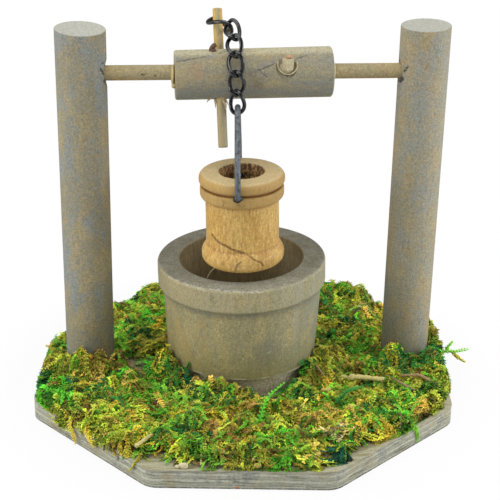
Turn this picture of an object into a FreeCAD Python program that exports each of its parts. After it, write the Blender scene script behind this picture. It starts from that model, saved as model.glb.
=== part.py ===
import FreeCAD, Part
import Sketcher
import math
import os
from FreeCAD import Matrix, Placement, Rotation, Vector

# A miniature wishing well: an octagonal plywood plate with moss, a turned tub, two
# dowel posts, and a windlass whose chain carries a turned bucket on a wire bail.
# Millimetres, +Z up, +X along the windlass, -Y towards the front. The origin is the
# centre of the plate's underside.

doc = FreeCAD.newDocument("wishing_well")


# Driving dimensions

DIMENSIONS = [
    ("plate_across", 135.6, "plate, distance across the flats"),
    ("plate_thick", 6.2, "plate, quarter inch plywood"),
    ("plate_corner", 7.0, "plate, rounding of each corner"),
    ("plate_cut", 13.5, "plate, how much lower its back left corner is cut on the left side"),
    ("plate_turn", -5.1, "plate, turn about Z against the line of the posts, degrees"),
    ("post_dia", 15.8, "post, dowel diameter"),
    ("post_left_x", -51.8, "left post, place along X"),
    ("post_right_x", 55.3, "right post, place along X"),
    ("post_left_top", 122.8, "left post, height of its top above the table"),
    ("post_right_top", 123.3, "right post, height of its top above the table"),
    ("post_round", 0.25, "post, rounding of its end"),
    ("post_trim", 1.0, "post, length left on for the saw cut of its top"),
    ("left_saw", 3.8, "left post, slant of its sawn top, degrees"),
    ("left_saw_way", 37.6, "left post, turn of the slant's high side from its back, degrees"),
    ("right_saw", 2.3, "right post, slant of its sawn top, degrees"),
    ("right_saw_way", 127.8, "right post, turn of the slant's high side from its back, degrees"),
    ("bore_dia", 4.9, "post, bore that the axle stub turns in"),
    ("bore_past", 2.0, "post, how far the bore runs past the post's centre line"),
    ("left_mouth", 9.2, "left post, diameter of the bore's broken mouth"),
    ("left_mouth_deep", 2.2, "left post, depth of the broken mouth"),
    ("right_mouth", 7.2, "right post, diameter of the bore's worn mouth"),
    ("right_mouth_deep", 1.4, "right post, depth of the worn mouth"),
    ("pilot_dia", 3.0, "pilot hole of a screw"),
    ("screw_hole", 3.1, "plate, hole for a screw"),
    ("pilot_deep", 16.0, "pilot hole, depth in a post"),
    ("axle_level", 108.8, "windlass, height of its axis above the table"),
    ("windlass_lean", 24.0, "windlass, turn at rest about X, degrees"),
    ("roller_start", -23.05, "roller, place of its left end along X"),
    ("roller_long", 49.05, "roller, length"),
    ("roller_dia", 15.4, "roller, diameter of its left end"),
    ("roller_dia_right", 15.8, "roller, diameter of its right end"),
    ("roller_drop", 0.9, "roller, how far its left end hangs under the axis"),
    ("roller_drop_right", 0.15, "roller, how far its right end hangs under the axis"),
    ("roller_edge", 0.4, "roller, chamfer of its ends"),
    ("stub_dia", 4.76, "axle stub, dowel diameter"),
    ("stub_deep", 12.0, "axle stub, depth of its bore in the roller"),
    ("stub_short", 0.1, "axle stub, space left at the bottom of its bore"),
    ("stub_edge", 0.3, "axle stub, chamfer of its ends"),
    ("stub_play", 0.6, "axle stub, end play in the post's bore"),
    ("glue_gap", 0.05, "glued fits, radial room for glue"),
    ("peg_dia", 3.0, "handle peg, bamboo stick diameter"),
    ("peg_up", 19.75, "handle peg, reach above the windlass axis"),
    ("peg_down", 23.5, "handle peg, reach below the windlass axis"),
    ("peg_edge", 0.15, "handle peg, chamfer of its ends"),
    ("peg_place", 14.1, "handle peg, distance from the roller's left end"),
    ("peg_tilt", 1.25, "handle peg, tilt of its hole across the roller, degrees"),
    ("dowel_dia", 4.2, "cross dowel, diameter"),
    ("dowel_place", 34.05, "cross dowel, distance from the roller's left end"),
    ("dowel_long", 4.6, "cross dowel, length"),
    ("dowel_dome", 0.5, "cross dowel, height of its rounded end"),
    ("dowel_sunk", 0.35, "cross dowel, how far its end lies under the roller's surface"),
    ("recess_dia", 6.5, "recess round the cross dowel, diameter"),
    ("recess_deep", 0.9, "recess round the cross dowel, depth"),
    ("link_wire", 1.25, "chain, wire diameter"),
    ("link_long", 8.55, "chain link, length outside"),
    ("link_wide", 5.65, "chain link, width outside"),
    ("link_twist", 45.0, "chain link, turn of each end against its middle, degrees"),
    ("link_play", 0.16, "chain, play between two links"),
    ("ring_long", 11.12, "opened link on the peg, length outside"),
    ("ring_wide", 6.63, "opened link on the peg, width outside"),
    ("ring_x", -8.507, "opened link on the peg, place along X"),
    ("ring_y", 4.879, "opened link on the peg, place along Y"),
    ("ring_z", 122.619, "opened link on the peg, height"),
    ("ring_yaw", -137.88, "opened link on the peg, turn about Z, degrees"),
    ("ring_pitch", -25.40, "opened link on the peg, turn about its Y, degrees"),
    ("ring_roll", 83.26, "opened link on the peg, turn about its X, degrees"),
    ("hook_x", -4.1, "lowest joint of the chain, place along X"),
    ("hook_y", -10.1, "lowest joint of the chain, place along Y"),
    ("hook_z", 99.2, "lowest joint of the chain, height"),
    ("bail_dia", 1.85, "bail, wire diameter"),
    ("bail_play", 0.25, "bail, play between its crown and the lowest link"),
    ("bail_crown", 3.0, "bail, radius of its crown"),
    ("bail_half", 15.0, "bail, half width between its legs"),
    ("bail_bend", 1.5, "bail, radius of the bend above each foot"),
    ("bail_plumb", 3.6, "bail, plumb length of each leg above its bend"),
    ("bail_shoulder", 7.0, "bail, radius where a leg leaves plumb"),
    ("bail_x", -3.5, "bail, place of its two feet along X"),
    ("bail_y", -10.1, "bail, place of its middle along Y"),
    ("bail_turn", -5.5, "bail and bucket, turn about Z, degrees"),
    ("front_foot", 6.4, "bail, length of its front foot past the bend"),
    ("back_foot", 10.0, "bail, length of its back foot past the bend"),
    ("bucket_off", 1.05, "bucket, how far its axis stands right of the bail's feet"),
    ("bucket_lean", 1.6, "bucket, lean of its foot to the right, degrees"),
    ("bucket_z", 49.7, "bucket, height of its underside above the table"),
    ("bucket_tall", 30.0, "bucket, height"),
    ("bucket_top_r", 13.6, "bucket, radius of its top ring"),
    ("bucket_ring_r", 13.3, "bucket, radius of the second ring"),
    ("bucket_body_r", 11.65, "bucket, radius of its body"),
    ("bucket_foot_r", 13.2, "bucket, radius of its bottom ring"),
    ("bucket_groove_r", 12.2, "bucket, radius in the groove under the top ring"),
    ("bucket_bore_r", 7.1, "bucket, radius of its bore"),
    ("bucket_floor", 6.0, "bucket, thickness of its bottom"),
    ("bucket_foot_wide", 3.9, "bucket, top of the widest part of the bottom ring"),
    ("bucket_foot_top", 6.7, "bucket, top of the bottom ring"),
    ("bucket_ring_low", 21.6, "bucket, underside of the second ring"),
    ("bucket_groove_low", 25.8, "bucket, low side of the groove"),
    ("bucket_groove_top", 26.4, "bucket, high side of the groove"),
    ("foot_round", 2.3, "bucket, rounding under the bottom ring"),
    ("shoulder_round", 2.2, "bucket, rounding over the bottom ring"),
    ("ring_round", 1.55, "bucket, rounding under the second ring"),
    ("ring_top_round", 1.0, "bucket, rounding over the second ring"),
    ("top_under_round", 1.1, "bucket, rounding under the top ring"),
    ("top_round", 1.9, "bucket, rounding of the top ring"),
    ("bore_edge", 0.4, "bucket, rounding of the bore's edge"),
    ("bail_hole", 2.01, "bucket, diameter of the holes for the bail"),
    ("tub_x", -0.9, "tub, place along X"),
    ("tub_tall", 40.0, "tub, height above the plate"),
    ("tub_rim_lean", 2.0, "tub, slant of the rim, whose right side stands higher, degrees"),
    ("tub_rim_off", 0.94, "tub, place along X where the rim's slanted axis meets the plate"),
    ("tub_rim_r", 27.7, "tub, radius of its rim band"),
    ("tub_rim_low", 31.4, "tub, underside of the rim band above the plate"),
    ("tub_rim_bevel", 0.5, "tub, height of the bevel under the rim band"),
    ("tub_top_r", 26.2, "tub, radius of its body under the rim"),
    ("tub_low_r", 24.85, "tub, radius of its body at the bottom"),
    ("tub_foot_r", 23.1, "tub, radius of its recessed foot"),
    ("tub_foot_top", 6.0, "tub, height of the foot"),
    ("tub_foot_slope", 0.9, "tub, height of the bevel over the foot"),
    ("tub_bore_r", 20.35, "tub, radius of its hollow"),
    ("tub_bore_edge", 0.5, "tub, rounding of the hollow's edge"),
    ("tub_floor", 8.0, "tub, thickness of its bottom"),
    ("tub_rim_round", 1.1, "tub, rounding of the rim's outer edges"),
    ("screw_shank", 2.9, "screw, shank diameter"),
    ("screw_head", 5.8, "screw, head diameter"),
    ("screw_long", 20.0, "screw, length"),
    ("screw_tip", 2.5, "screw, length of its point"),
    ("screw_room", 0.5, "screw, space left over its cut end in the tub"),
    ("screw_sunk", 0.3, "screw, how far its head lies inside the plate"),
    ("screw_cone", 1.5, "screw, height of its conical head"),
    ("tub_pilot", 7.0, "pilot hole, depth in the tub's bottom"),
    ("moss_inset", 1.2, "moss, mean distance from the plate's edge"),
    ("moss_wave", 1.1, "moss, how far its edge wanders"),
    ("moss_mat", 3.4, "moss, thickness of the mat"),
    ("moss_mound", 3.4, "moss, height of its mounds over the mat"),
    ("moss_start", 30.0, "moss, distance from the centre where its mounds begin"),
    ("mound_r", 11.0, "moss, radius of the lowest mounds"),
    ("mound_grow", 3.0, "moss, how much the tallest mounds are wider"),
    ("moss_gap", 0.35, "moss, gap to the wood and to the next tuft"),
]

sheet = doc.addObject("Spreadsheet::Sheet", "dims")
for row, (alias, value, note) in enumerate(DIMENSIONS, start=1):
    sheet.set("A%d" % row, note)
    sheet.set("B%d" % row, str(value))
    sheet.setAlias("B%d" % row, alias)
doc.recompute()


class Size:
    """A length that knows its number and the sheet expression that gives it."""

    def __init__(self, value, text):
        self.value = float(value)
        self.text = text

    def _join(self, other, sign, value):
        other = as_size(other)
        return Size(value(self.value, other.value), "(%s %s %s)" % (self.text, sign, other.text))

    def __add__(self, other):
        return self._join(other, "+", lambda a, b: a + b)

    def __sub__(self, other):
        return self._join(other, "-", lambda a, b: a - b)

    def __mul__(self, other):
        return self._join(other, "*", lambda a, b: a * b)

    def __truediv__(self, other):
        return self._join(other, "/", lambda a, b: a / b)


def as_size(number):
    """Wrap a plain number as a Size."""
    return number if isinstance(number, Size) else Size(number, repr(float(number)))


def dim(alias):
    """A driving dimension as a Size."""
    return Size(sheet.get(alias), "dims." + alias)


def mm(alias):
    """A driving dimension as a plain number."""
    return float(sheet.get(alias))


def bind(thing, prop, size):
    """Tie a property of an object to the sheet."""
    thing.setExpression(prop, as_size(size).text)


# Sketches

ROOT = -1
X_AXIS = -1
Y_AXIS = -2


def new_body(name):
    """Start a sub-part that is made of features."""
    body = doc.addObject("PartDesign::Body", name)
    body.Label = name
    return body


def new_sketch(body, name, role, offset=None):
    """A sketch on one of the body's own origin planes, moved along by offset."""
    plane = [item for item in body.Origin.OriginFeatures if item.Role == role][0]
    sketch = body.newObject("Sketcher::SketchObject", name)
    sketch.AttachmentSupport = [(plane, "")]
    sketch.MapMode = "FlatFace"
    if offset is not None:
        sketch.AttachmentOffset = Placement(Vector(0, 0, as_size(offset).value), Rotation())
        bind(sketch, "AttachmentOffset.Base.z", offset)
    return sketch


def hold(sketch, axis, geometry, point, size):
    """Fix one coordinate of a point of the sketch to a Size."""
    size = as_size(size)
    if size.value == 0.0:
        line = Y_AXIS if axis == "X" else X_AXIS
        sketch.addConstraint(Sketcher.Constraint("PointOnObject", geometry, point, line))
        return
    rule = Sketcher.Constraint("Distance" + axis, ROOT, 1, geometry, point, size.value)
    index = sketch.addConstraint(rule)
    sketch.setExpression("Constraints[%d]" % index, size.text)


def add_circle(sketch, diameter, x=0.0, y=0.0):
    """A circle whose diameter and centre follow the sheet."""
    x = as_size(x)
    y = as_size(y)
    circle = Part.Circle(Vector(x.value, y.value, 0), Vector(0, 0, 1), diameter.value / 2)
    index = sketch.addGeometry(circle)
    rule = sketch.addConstraint(Sketcher.Constraint("Diameter", index, diameter.value))
    sketch.setExpression("Constraints[%d]" % rule, diameter.text)
    hold(sketch, "X", index, 3, x)
    hold(sketch, "Y", index, 3, y)


def add_outline(sketch, corners):
    """A closed outline of straight lines through the corners, each a pair of Sizes."""
    corners = [(as_size(x), as_size(y)) for x, y in corners]
    spots = [Vector(x.value, y.value, 0) for x, y in corners]
    count = len(spots)
    for index in range(count):
        sketch.addGeometry(Part.LineSegment(spots[index], spots[(index + 1) % count]))
    for index in range(count):
        rule = Sketcher.Constraint("Coincident", index, 2, (index + 1) % count, 1)
        sketch.addConstraint(rule)
    for index, (x, y) in enumerate(corners):
        hold(sketch, "X", index, 1, x)
        hold(sketch, "Y", index, 1, y)


# Features

def pad(body, sketch, name, length):
    """Raise a sketch into a solid."""
    feature = body.newObject("PartDesign::Pad", name)
    feature.Profile = sketch
    feature.Length = as_size(length).value
    bind(feature, "Length", length)
    sketch.Visibility = False
    doc.recompute()
    return feature


def pocket(body, sketch, name, depth=None, flip=False, both=False):
    """Cut a sketch into the body, right through where no depth is given."""
    before = body.Shape.Volume
    feature = body.newObject("PartDesign::Pocket", name)
    feature.Profile = sketch
    feature.Reversed = flip
    if depth is None:
        feature.Type = 1
        feature.Midplane = both
    else:
        feature.Length = as_size(depth).value
        bind(feature, "Length", depth)
    doc.recompute()
    if not body.Shape.Volume < before - 1e-3:
        raise ValueError("%s cuts nothing" % name)
    return feature


def turn(body, sketch, name):
    """Revolve a sketch about its vertical axis."""
    feature = body.newObject("PartDesign::Revolution", name)
    feature.Profile = sketch
    feature.ReferenceAxis = (sketch, ["V_Axis"])
    feature.Angle = 360
    doc.recompute()
    return feature


def edges_where(shape, test):
    """Names of the edges whose curve passes the test."""
    return ["Edge%d" % (i + 1) for i, edge in enumerate(shape.Edges) if test(edge)]


def circle_at(height, radius):
    """A test for circles about Z with a given height and radius."""
    def test(edge):
        curve = edge.Curve
        return (
            isinstance(curve, Part.Circle)
            and abs(curve.Center.z - height) < 1e-4
            and abs(curve.Radius - radius) < 1e-4
        )
    return test


def circle_near(height, radius):
    """A test for circles about a slanted axis, with a radius and a rough height."""
    def test(edge):
        curve = edge.Curve
        return (
            isinstance(curve, Part.Circle)
            and abs(curve.Center.z - height) < 0.2
            and abs(curve.Radius - radius) < 1e-4
        )
    return test


def soften(body, name, kind, size, *tests):
    """Fillet or chamfer the edges that pass one of the tests."""
    base = body.Tip
    names = [n for test in tests for n in edges_where(base.Shape, test)]
    if not names:
        raise ValueError("%s finds no edge" % name)
    feature = body.newObject("PartDesign::" + kind, name)
    feature.Base = (base, names)
    prop = "Radius" if kind == "Fillet" else "Size"
    setattr(feature, prop, as_size(size).value)
    bind(feature, prop, size)
    doc.recompute()
    if "Invalid" in feature.State or feature.Shape.isNull():
        raise ValueError("%s does not fit" % name)
    return feature


def place(thing, base, rotation=None):
    """Put a sub-part in its place."""
    thing.Placement = Placement(base, rotation or Rotation())
    doc.recompute()


# The stand: plate, posts, tub and the screws under them

PLATE_TURN = Rotation(Vector(0, 0, 1), mm("plate_turn"))
SCREW_SPOTS = [
    Vector(mm("post_left_x"), 0, 0),
    Vector(mm("post_right_x"), 0, 0),
    Vector(mm("tub_x"), 0, 0),
]


def make_plate():
    """The octagonal plate, with a countersunk hole under each post and the tub."""
    body = new_body("base_plate")
    outline = new_sketch(body, "plate_outline", "XY_Plane")
    half = dim("plate_across") / 2
    side = half * math.tan(math.radians(22.5))
    add_outline(outline, [
        (half, side), (side, half), (side * -1, half), (half * -1, side - dim("plate_cut")),
        (half * -1, side * -1), (side * -1, half * -1), (side, half * -1), (half, side * -1),
    ])
    pad(body, outline, "plate_pad", dim("plate_thick"))
    soften(body, "plate_corners", "Fillet", dim("plate_corner"), edge_is_upright)
    holes = new_sketch(body, "plate_holes", "XY_Plane")
    back_turn = PLATE_TURN.inverted()
    for spot in SCREW_SPOTS:
        local = back_turn.multVec(spot)
        add_circle(holes, dim("screw_hole"), local.x, local.y)
    pocket(body, holes, "plate_screw_holes", flip=True)
    sink = dim("screw_cone") + dim("screw_sunk")
    rims = circle_at(0.0, mm("screw_hole") / 2)
    soften(body, "plate_countersinks", "Chamfer", sink, rims)
    place(body, Vector(0, 0, 0), PLATE_TURN)
    return body


def edge_is_upright(edge):
    """A straight edge that runs along Z."""
    return isinstance(edge.Curve, Part.Line) and abs(edge.tangentAt(edge.FirstParameter).z) > 0.999


def edge_is_oval(edge):
    """An edge left by a slanted saw cut through a dowel."""
    return isinstance(edge.Curve, Part.Ellipse)


def make_post(side, turned):
    """A dowel post with a sawn top and a blind bore that faces the other post."""
    name = side + "_post"
    body = new_body(name)
    length = dim("post_%s_top" % side) - dim("plate_thick")
    section = new_sketch(body, name + "_section", "XY_Plane")
    add_circle(section, dim("post_dia"))
    pad(body, section, name + "_pad", length + dim("post_trim"))
    cut = new_sketch(body, name + "_saw_cut", "YZ_Plane")
    cut.AttachmentOffset = Placement(Vector(0, 0, 0), Rotation(Vector(0, 1, 0), mm(side + "_saw_way")))
    reach = dim("post_dia")
    rise = reach * math.tan(math.radians(mm(side + "_saw")))
    above = length + dim("post_trim") * 2
    add_outline(cut, [
        (reach * -1, length - rise),
        (reach, length + rise),
        (reach, above),
        (reach * -1, above),
    ])
    pocket(body, cut, name + "_sawn", both=True)
    soften(body, name + "_top_round", "Fillet", dim("post_round"), edge_is_oval)
    level = dim("axle_level") - dim("plate_thick")
    bore = new_sketch(body, name + "_bore_section", "YZ_Plane", dim("bore_past") * -1)
    add_circle(bore, dim("bore_dia"), 0.0, level)
    pocket(body, bore, name + "_bore", flip=True)
    mouth = body.newObject("PartDesign::SubtractiveCone", name + "_mouth")
    deep = dim(side + "_mouth_deep")
    widen = (dim(side + "_mouth") - dim("bore_dia")) / 2
    bind(mouth, "Radius1", dim("bore_dia") / 2)
    bind(mouth, "Radius2", dim("bore_dia") / 2 + widen * 2)
    bind(mouth, "Height", deep * 2)
    mouth.AttachmentSupport = [(origin_plane(body, "XY_Plane"), "")]
    mouth.MapMode = "FlatFace"
    start = dim("post_dia") / 2 - deep
    across = Rotation(Vector(0, 1, 0), 90)
    mouth.AttachmentOffset = Placement(Vector(start.value, 0, level.value), across)
    bind(mouth, "AttachmentOffset.Base.x", start)
    bind(mouth, "AttachmentOffset.Base.z", level)
    doc.recompute()
    pilot = new_sketch(body, name + "_pilot_section", "XY_Plane")
    add_circle(pilot, dim("pilot_dia"))
    pocket(body, pilot, name + "_pilot", dim("pilot_deep"), flip=True)
    spin = Rotation(Vector(0, 0, 1), turned)
    place(body, Vector(mm("post_%s_x" % side), 0, mm("plate_thick")), spin)
    return body


def origin_plane(body, role):
    """One of the body's origin planes."""
    return [item for item in body.Origin.OriginFeatures if item.Role == role][0]


def make_tub():
    """The turned tub: a recessed foot and a plumb body under a slanted rim band."""
    body = new_body("well_tub")
    under = new_sketch(body, "tub_body_outline", "XZ_Plane")
    inside = dim("tub_rim_low") + dim("tub_rim_bevel") * 4
    add_outline(under, [
        (0, 0),
        (dim("tub_foot_r"), 0),
        (dim("tub_foot_r"), dim("tub_foot_top")),
        (dim("tub_low_r"), dim("tub_foot_top") + dim("tub_foot_slope")),
        (dim("tub_top_r"), dim("tub_rim_low")),
        (dim("tub_top_r"), inside),
        (0, inside),
    ])
    turn(body, under, "tub_body_turned")
    band = new_sketch(body, "tub_rim_outline", "XZ_Plane")
    slant(band)
    add_outline(band, [
        (0, dim("tub_rim_low")),
        (dim("tub_top_r"), dim("tub_rim_low")),
        (dim("tub_rim_r"), dim("tub_rim_low") + dim("tub_rim_bevel")),
        (dim("tub_rim_r"), dim("tub_tall")),
        (0, dim("tub_tall")),
    ])
    turn(body, band, "tub_rim_turned")
    hollow = new_sketch(body, "tub_hollow_outline", "XZ_Plane")
    slant(hollow)
    add_outline(hollow, [
        (0, dim("tub_floor")),
        (dim("tub_bore_r"), dim("tub_floor")),
        (dim("tub_bore_r"), dim("tub_tall") * 1.1),
        (0, dim("tub_tall") * 1.1),
    ])
    groove = body.newObject("PartDesign::Groove", "tub_hollow")
    groove.Profile = hollow
    groove.ReferenceAxis = (hollow, ["V_Axis"])
    groove.Angle = 360
    doc.recompute()
    outer = circle_near(mm("tub_tall"), mm("tub_rim_r"))
    lower = circle_near(mm("tub_rim_low") + mm("tub_rim_bevel"), mm("tub_rim_r"))
    soften(body, "tub_rim_round", "Fillet", dim("tub_rim_round"), outer, lower)
    inner = circle_near(mm("tub_tall"), mm("tub_bore_r"))
    soften(body, "tub_hollow_edge", "Fillet", dim("tub_bore_edge"), inner)
    pilot = new_sketch(body, "tub_pilot_section", "XY_Plane")
    add_circle(pilot, dim("pilot_dia"))
    pocket(body, pilot, "tub_pilot", dim("tub_pilot"), flip=True)
    place(body, Vector(mm("tub_x"), 0, mm("plate_thick")))
    return body


def slant(sketch):
    """Turn a sketch of the tub in its own plane, as the rim band is slanted."""
    sketch.AttachmentOffset = Placement(
        Vector(mm("tub_rim_off"), 0, 0), Rotation(Vector(0, 0, 1), mm("tub_rim_lean"))
    )
    bind(sketch, "AttachmentOffset.Base.x", dim("tub_rim_off"))


def make_screws():
    """Three countersunk screws that hold the posts and the tub from below."""
    body = new_body("screw_pattern")
    outline = new_sketch(body, "screw_outline", "XZ_Plane")
    low = dim("screw_sunk")
    tip = dim("screw_long") + low
    add_outline(outline, [
        (0, low),
        (dim("screw_head") / 2, low),
        (dim("screw_shank") / 2, low + dim("screw_cone")),
        (dim("screw_shank") / 2, tip - dim("screw_tip")),
        (0, tip),
    ])
    turn(body, outline, "screw_turned")
    in_post = body.Shape
    short = mm("plate_thick") + mm("tub_pilot") - mm("screw_room")
    wide = mm("screw_head")
    below = Part.makeBox(2 * wide, 2 * wide, short, Vector(-wide, -wide, 0))
    in_tub = in_post.common(below)
    copies = []
    for spot, shape in zip(SCREW_SPOTS, (in_post, in_post, in_tub)):
        copy = shape.copy()
        copy.translate(spot)
        copies.append(copy)
    group = doc.addObject("Part::Feature", "base_screws")
    group.Label = "base_screws"
    group.Shape = Part.Compound(copies)
    return group


# The windlass: its own frame has Z along the roller, X up the handle peg and Y along
# the cross dowel, and is turned as the photographed windlass stands.

LEAN = math.radians(mm("windlass_lean"))
PEG_UP = Vector(0, math.sin(LEAN), math.cos(LEAN))
DOWEL_OUT = Vector(0, -math.cos(LEAN), math.sin(LEAN))
ALONG = Vector(1, 0, 0)


def windlass_place(shift=0.0):
    """The windlass frame, shifted along the roller's axis."""
    turned = Matrix(
        PEG_UP.x, DOWEL_OUT.x, ALONG.x, 0,
        PEG_UP.y, DOWEL_OUT.y, ALONG.y, 0,
        PEG_UP.z, DOWEL_OUT.z, ALONG.z, 0,
        0, 0, 0, 1,
    )
    base = Vector(mm("roller_start") + shift, 0, mm("axle_level"))
    return Placement(base, Placement(turned).Rotation)


def cylinder(name, radius, height, base=None, rotation=None):
    """A Part cylinder tied to the sheet."""
    item = doc.addObject("Part::Cylinder", name)
    bind(item, "Radius", radius)
    bind(item, "Height", height)
    item.Placement = Placement(base or Vector(0, 0, 0), rotation or Rotation())
    return item


def make_roller():
    """The roller: a dowel with end bores, a peg hole right through and a recess.

    The dowel is a little thicker at its right end, and its left end hangs lower than
    the axis that the two stubs share.
    """
    blank = doc.addObject("Part::Cone", "roller_blank")
    bind(blank, "Radius1", dim("roller_dia") / 2)
    bind(blank, "Radius2", dim("roller_dia_right") / 2)
    bind(blank, "Height", dim("roller_long"))
    down = Vector(-math.cos(LEAN), -math.sin(LEAN), 0)
    low_end = down * mm("roller_drop")
    high_end = down * mm("roller_drop_right") + Vector(0, 0, mm("roller_long"))
    blank.Placement = Placement(low_end, Rotation(Vector(0, 0, 1), high_end - low_end))
    doc.recompute()
    eased = doc.addObject("Part::Chamfer", "roller_eased")
    eased.Base = blank
    edge = mm("roller_edge")
    rings = [i + 1 for i, e in enumerate(blank.Shape.Edges) if isinstance(e.Curve, Part.Circle)]
    eased.Edges = [(number, edge, edge) for number in rings]
    stub = dim("stub_dia") / 2 + dim("glue_gap")
    past = dim("roller_drop")
    low = cylinder("roller_low_bore", stub, dim("stub_deep") + past)
    high = cylinder("roller_high_bore", stub, dim("stub_deep") + past)
    bind(low, "Placement.Base.z", past * -1)
    bind(high, "Placement.Base.z", dim("roller_long") - dim("stub_deep"))
    across = Rotation(Vector(0, 1, 0), 90 + mm("peg_tilt"))
    reach = mm("roller_dia")
    start = Vector(0, 0, mm("peg_place")) - across.multVec(Vector(0, 0, reach))
    peg = cylinder("roller_peg_hole", dim("peg_dia") / 2 + dim("glue_gap"),
                   dim("roller_dia") * 2, start, across)
    out = Rotation(Vector(1, 0, 0), -90)
    surface = (dim("roller_dia") + dim("roller_dia_right")) / 4
    hole = cylinder("roller_dowel_hole", dim("dowel_dia") / 2 + dim("glue_gap"),
                    dim("roller_dia"), None, out)
    bind(hole, "Placement.Base.y", surface - dim("dowel_sunk") - dim("dowel_long"))
    recess = cylinder("roller_recess", dim("recess_dia") / 2, dim("roller_dia"), None, out)
    bind(recess, "Placement.Base.y", surface - dim("recess_deep"))
    for item in (hole, recess):
        bind(item, "Placement.Base.z", dim("dowel_place"))
    cuts = doc.addObject("Part::MultiFuse", "roller_cuts")
    cuts.Shapes = [low, high, peg, hole, recess]
    body = doc.addObject("Part::Cut", "windlass_roller")
    body.Base = eased
    body.Tool = cuts
    body.Label = "windlass_roller"
    doc.recompute()
    body.Placement = windlass_place()
    doc.recompute()
    return body


def make_stub(name, inner_end, outer_end):
    """An axle stub from its seat in the roller to its bearing in a post."""
    body = new_body(name)
    section = new_sketch(body, name + "_section", "XY_Plane")
    add_circle(section, dim("stub_dia"))
    pad(body, section, name + "_pad", outer_end - inner_end)
    rims = [circle_at(0.0, mm("stub_dia") / 2)]
    rims.append(circle_at((outer_end - inner_end).value, mm("stub_dia") / 2))
    soften(body, name + "_ends", "Chamfer", dim("stub_edge"), *rims)
    place(body, Vector(inner_end.value, 0, mm("axle_level")), Rotation(Vector(0, 1, 0), 90))
    return body


def make_stubs():
    """Both axle stubs, each glued into the roller and loose in its post."""
    past = dim("bore_past") - dim("stub_play")
    left_tip = dim("post_left_x") - past
    seat = dim("stub_deep") - dim("stub_short")
    left_seat = dim("roller_start") + seat
    make_stub("left_axle_stub", left_tip, left_seat)
    right_seat = dim("roller_start") + dim("roller_long") - seat
    right_tip = dim("post_right_x") + past
    make_stub("right_axle_stub", right_seat, right_tip)


def make_peg():
    """The handle peg, a bamboo stick right through the roller."""
    body = new_body("handle_peg")
    section = new_sketch(body, "peg_section", "XY_Plane", dim("peg_down") * -1)
    add_circle(section, dim("peg_dia"))
    pad(body, section, "peg_pad", dim("peg_down") + dim("peg_up"))
    rims = [
        circle_at(-mm("peg_down"), mm("peg_dia") / 2),
        circle_at(mm("peg_up"), mm("peg_dia") / 2),
    ]
    soften(body, "peg_ends", "Chamfer", dim("peg_edge"), *rims)
    frame = windlass_place(mm("peg_place"))
    across = Rotation(Vector(0, 1, 0), 90 + mm("peg_tilt"))
    body.Placement = Placement(frame.Base, frame.Rotation.multiply(across))
    doc.recompute()
    return body


def make_dowel():
    """The short cross dowel, glued in its recess, with a rounded outer end."""
    body = new_body("cross_dowel")
    outline = new_sketch(body, "dowel_outline", "XZ_Plane")
    radius = dim("dowel_dia") / 2
    add_outline(outline, [
        (0, 0),
        (radius, 0),
        (radius, dim("dowel_long") - dim("dowel_dome")),
        (radius * 0.7, dim("dowel_long")),
        (0, dim("dowel_long")),
    ])
    turn(body, outline, "dowel_turned")
    frame = windlass_place(mm("dowel_place"))
    surface = (mm("roller_dia") + mm("roller_dia_right")) / 4
    inward = surface - mm("dowel_sunk") - mm("dowel_long")
    base = frame.Base + DOWEL_OUT * inward
    body.Placement = Placement(base, frame.Rotation.multiply(Rotation(Vector(1, 0, 0), -90)))
    doc.recompute()
    return body


# The chain: closed tubes, each a periodic spline surface through rings of poles

RING_POLES = 10
LINK_POLES = 32


def closed_tube(centres, outward, radius):
    """A solid ring of round wire along a closed line of centres.

    The rings of poles lie in the plane across the line. A uniform cubic spline stands
    inside its poles, so the rings are drawn a little larger than the wire.
    """
    swell = 3.0 / (2.0 + math.cos(2 * math.pi / RING_POLES))
    count = len(centres)
    poles = []
    for index in range(count):
        run = centres[(index + 1) % count] - centres[index - 1]
        run.normalize()
        side = outward[index] - run * outward[index].dot(run)
        side.normalize()
        other = run.cross(side)
        ring = []
        for step in range(RING_POLES):
            angle = 2 * math.pi * step / RING_POLES
            spot = side * math.cos(angle) + other * math.sin(angle)
            ring.append(centres[index] + spot * (radius * swell))
        poles.append(ring)
    surface = Part.BSplineSurface()
    surface.buildFromPolesMultsKnots(
        poles, [1] * (count + 1), [1] * (RING_POLES + 1),
        list(range(count + 1)), list(range(RING_POLES + 1)), True, True, 3, 3,
    )
    solid = Part.Solid(Part.Shell([surface.toShape()]))
    if solid.Volume < 0:
        solid.reverse()
    return solid


def link_line(half_long, half_wide, twist):
    """Centres of a twisted link's wire about its own Z axis, and outward directions.

    The line is a rounded oval. Its width direction turns with height, so the two ends
    lie a quarter turn apart and each hooks square into its neighbour.
    """
    centres = []
    outward = []
    blunt = 2.0 / 2.4
    for index in range(LINK_POLES):
        angle = 2 * math.pi * index / LINK_POLES
        up = math.cos(angle)
        across = math.sin(angle)
        height = half_long * math.copysign(abs(up) ** blunt, up)
        width = half_wide * math.copysign(abs(across) ** blunt, across)
        turned = -math.radians(twist) * height / half_long
        centres.append(Vector(width * math.cos(turned), width * math.sin(turned), height))
        outward.append(Vector(
            across / half_wide * math.cos(turned),
            across / half_wide * math.sin(turned),
            up / half_long,
        ))
    return centres, outward


# Each free link from the peg down: its lean forward from plumb, its lean to the right
# and its turn about its own length, in degrees.
LINK_LEANS = [
    (55.4, 7.2, -7.2),
    (44.0, 0.0, 0.0),
    (25.0, 3.4, -2.0),
    (4.0, 3.1, -9.0),
    (0.0, 1.9, -26.0),
]

# Where the wire of the first free link passes through the opened link on the peg
FIRST_MEETING = Vector(-6.545, 1.800, 123.639)


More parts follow.
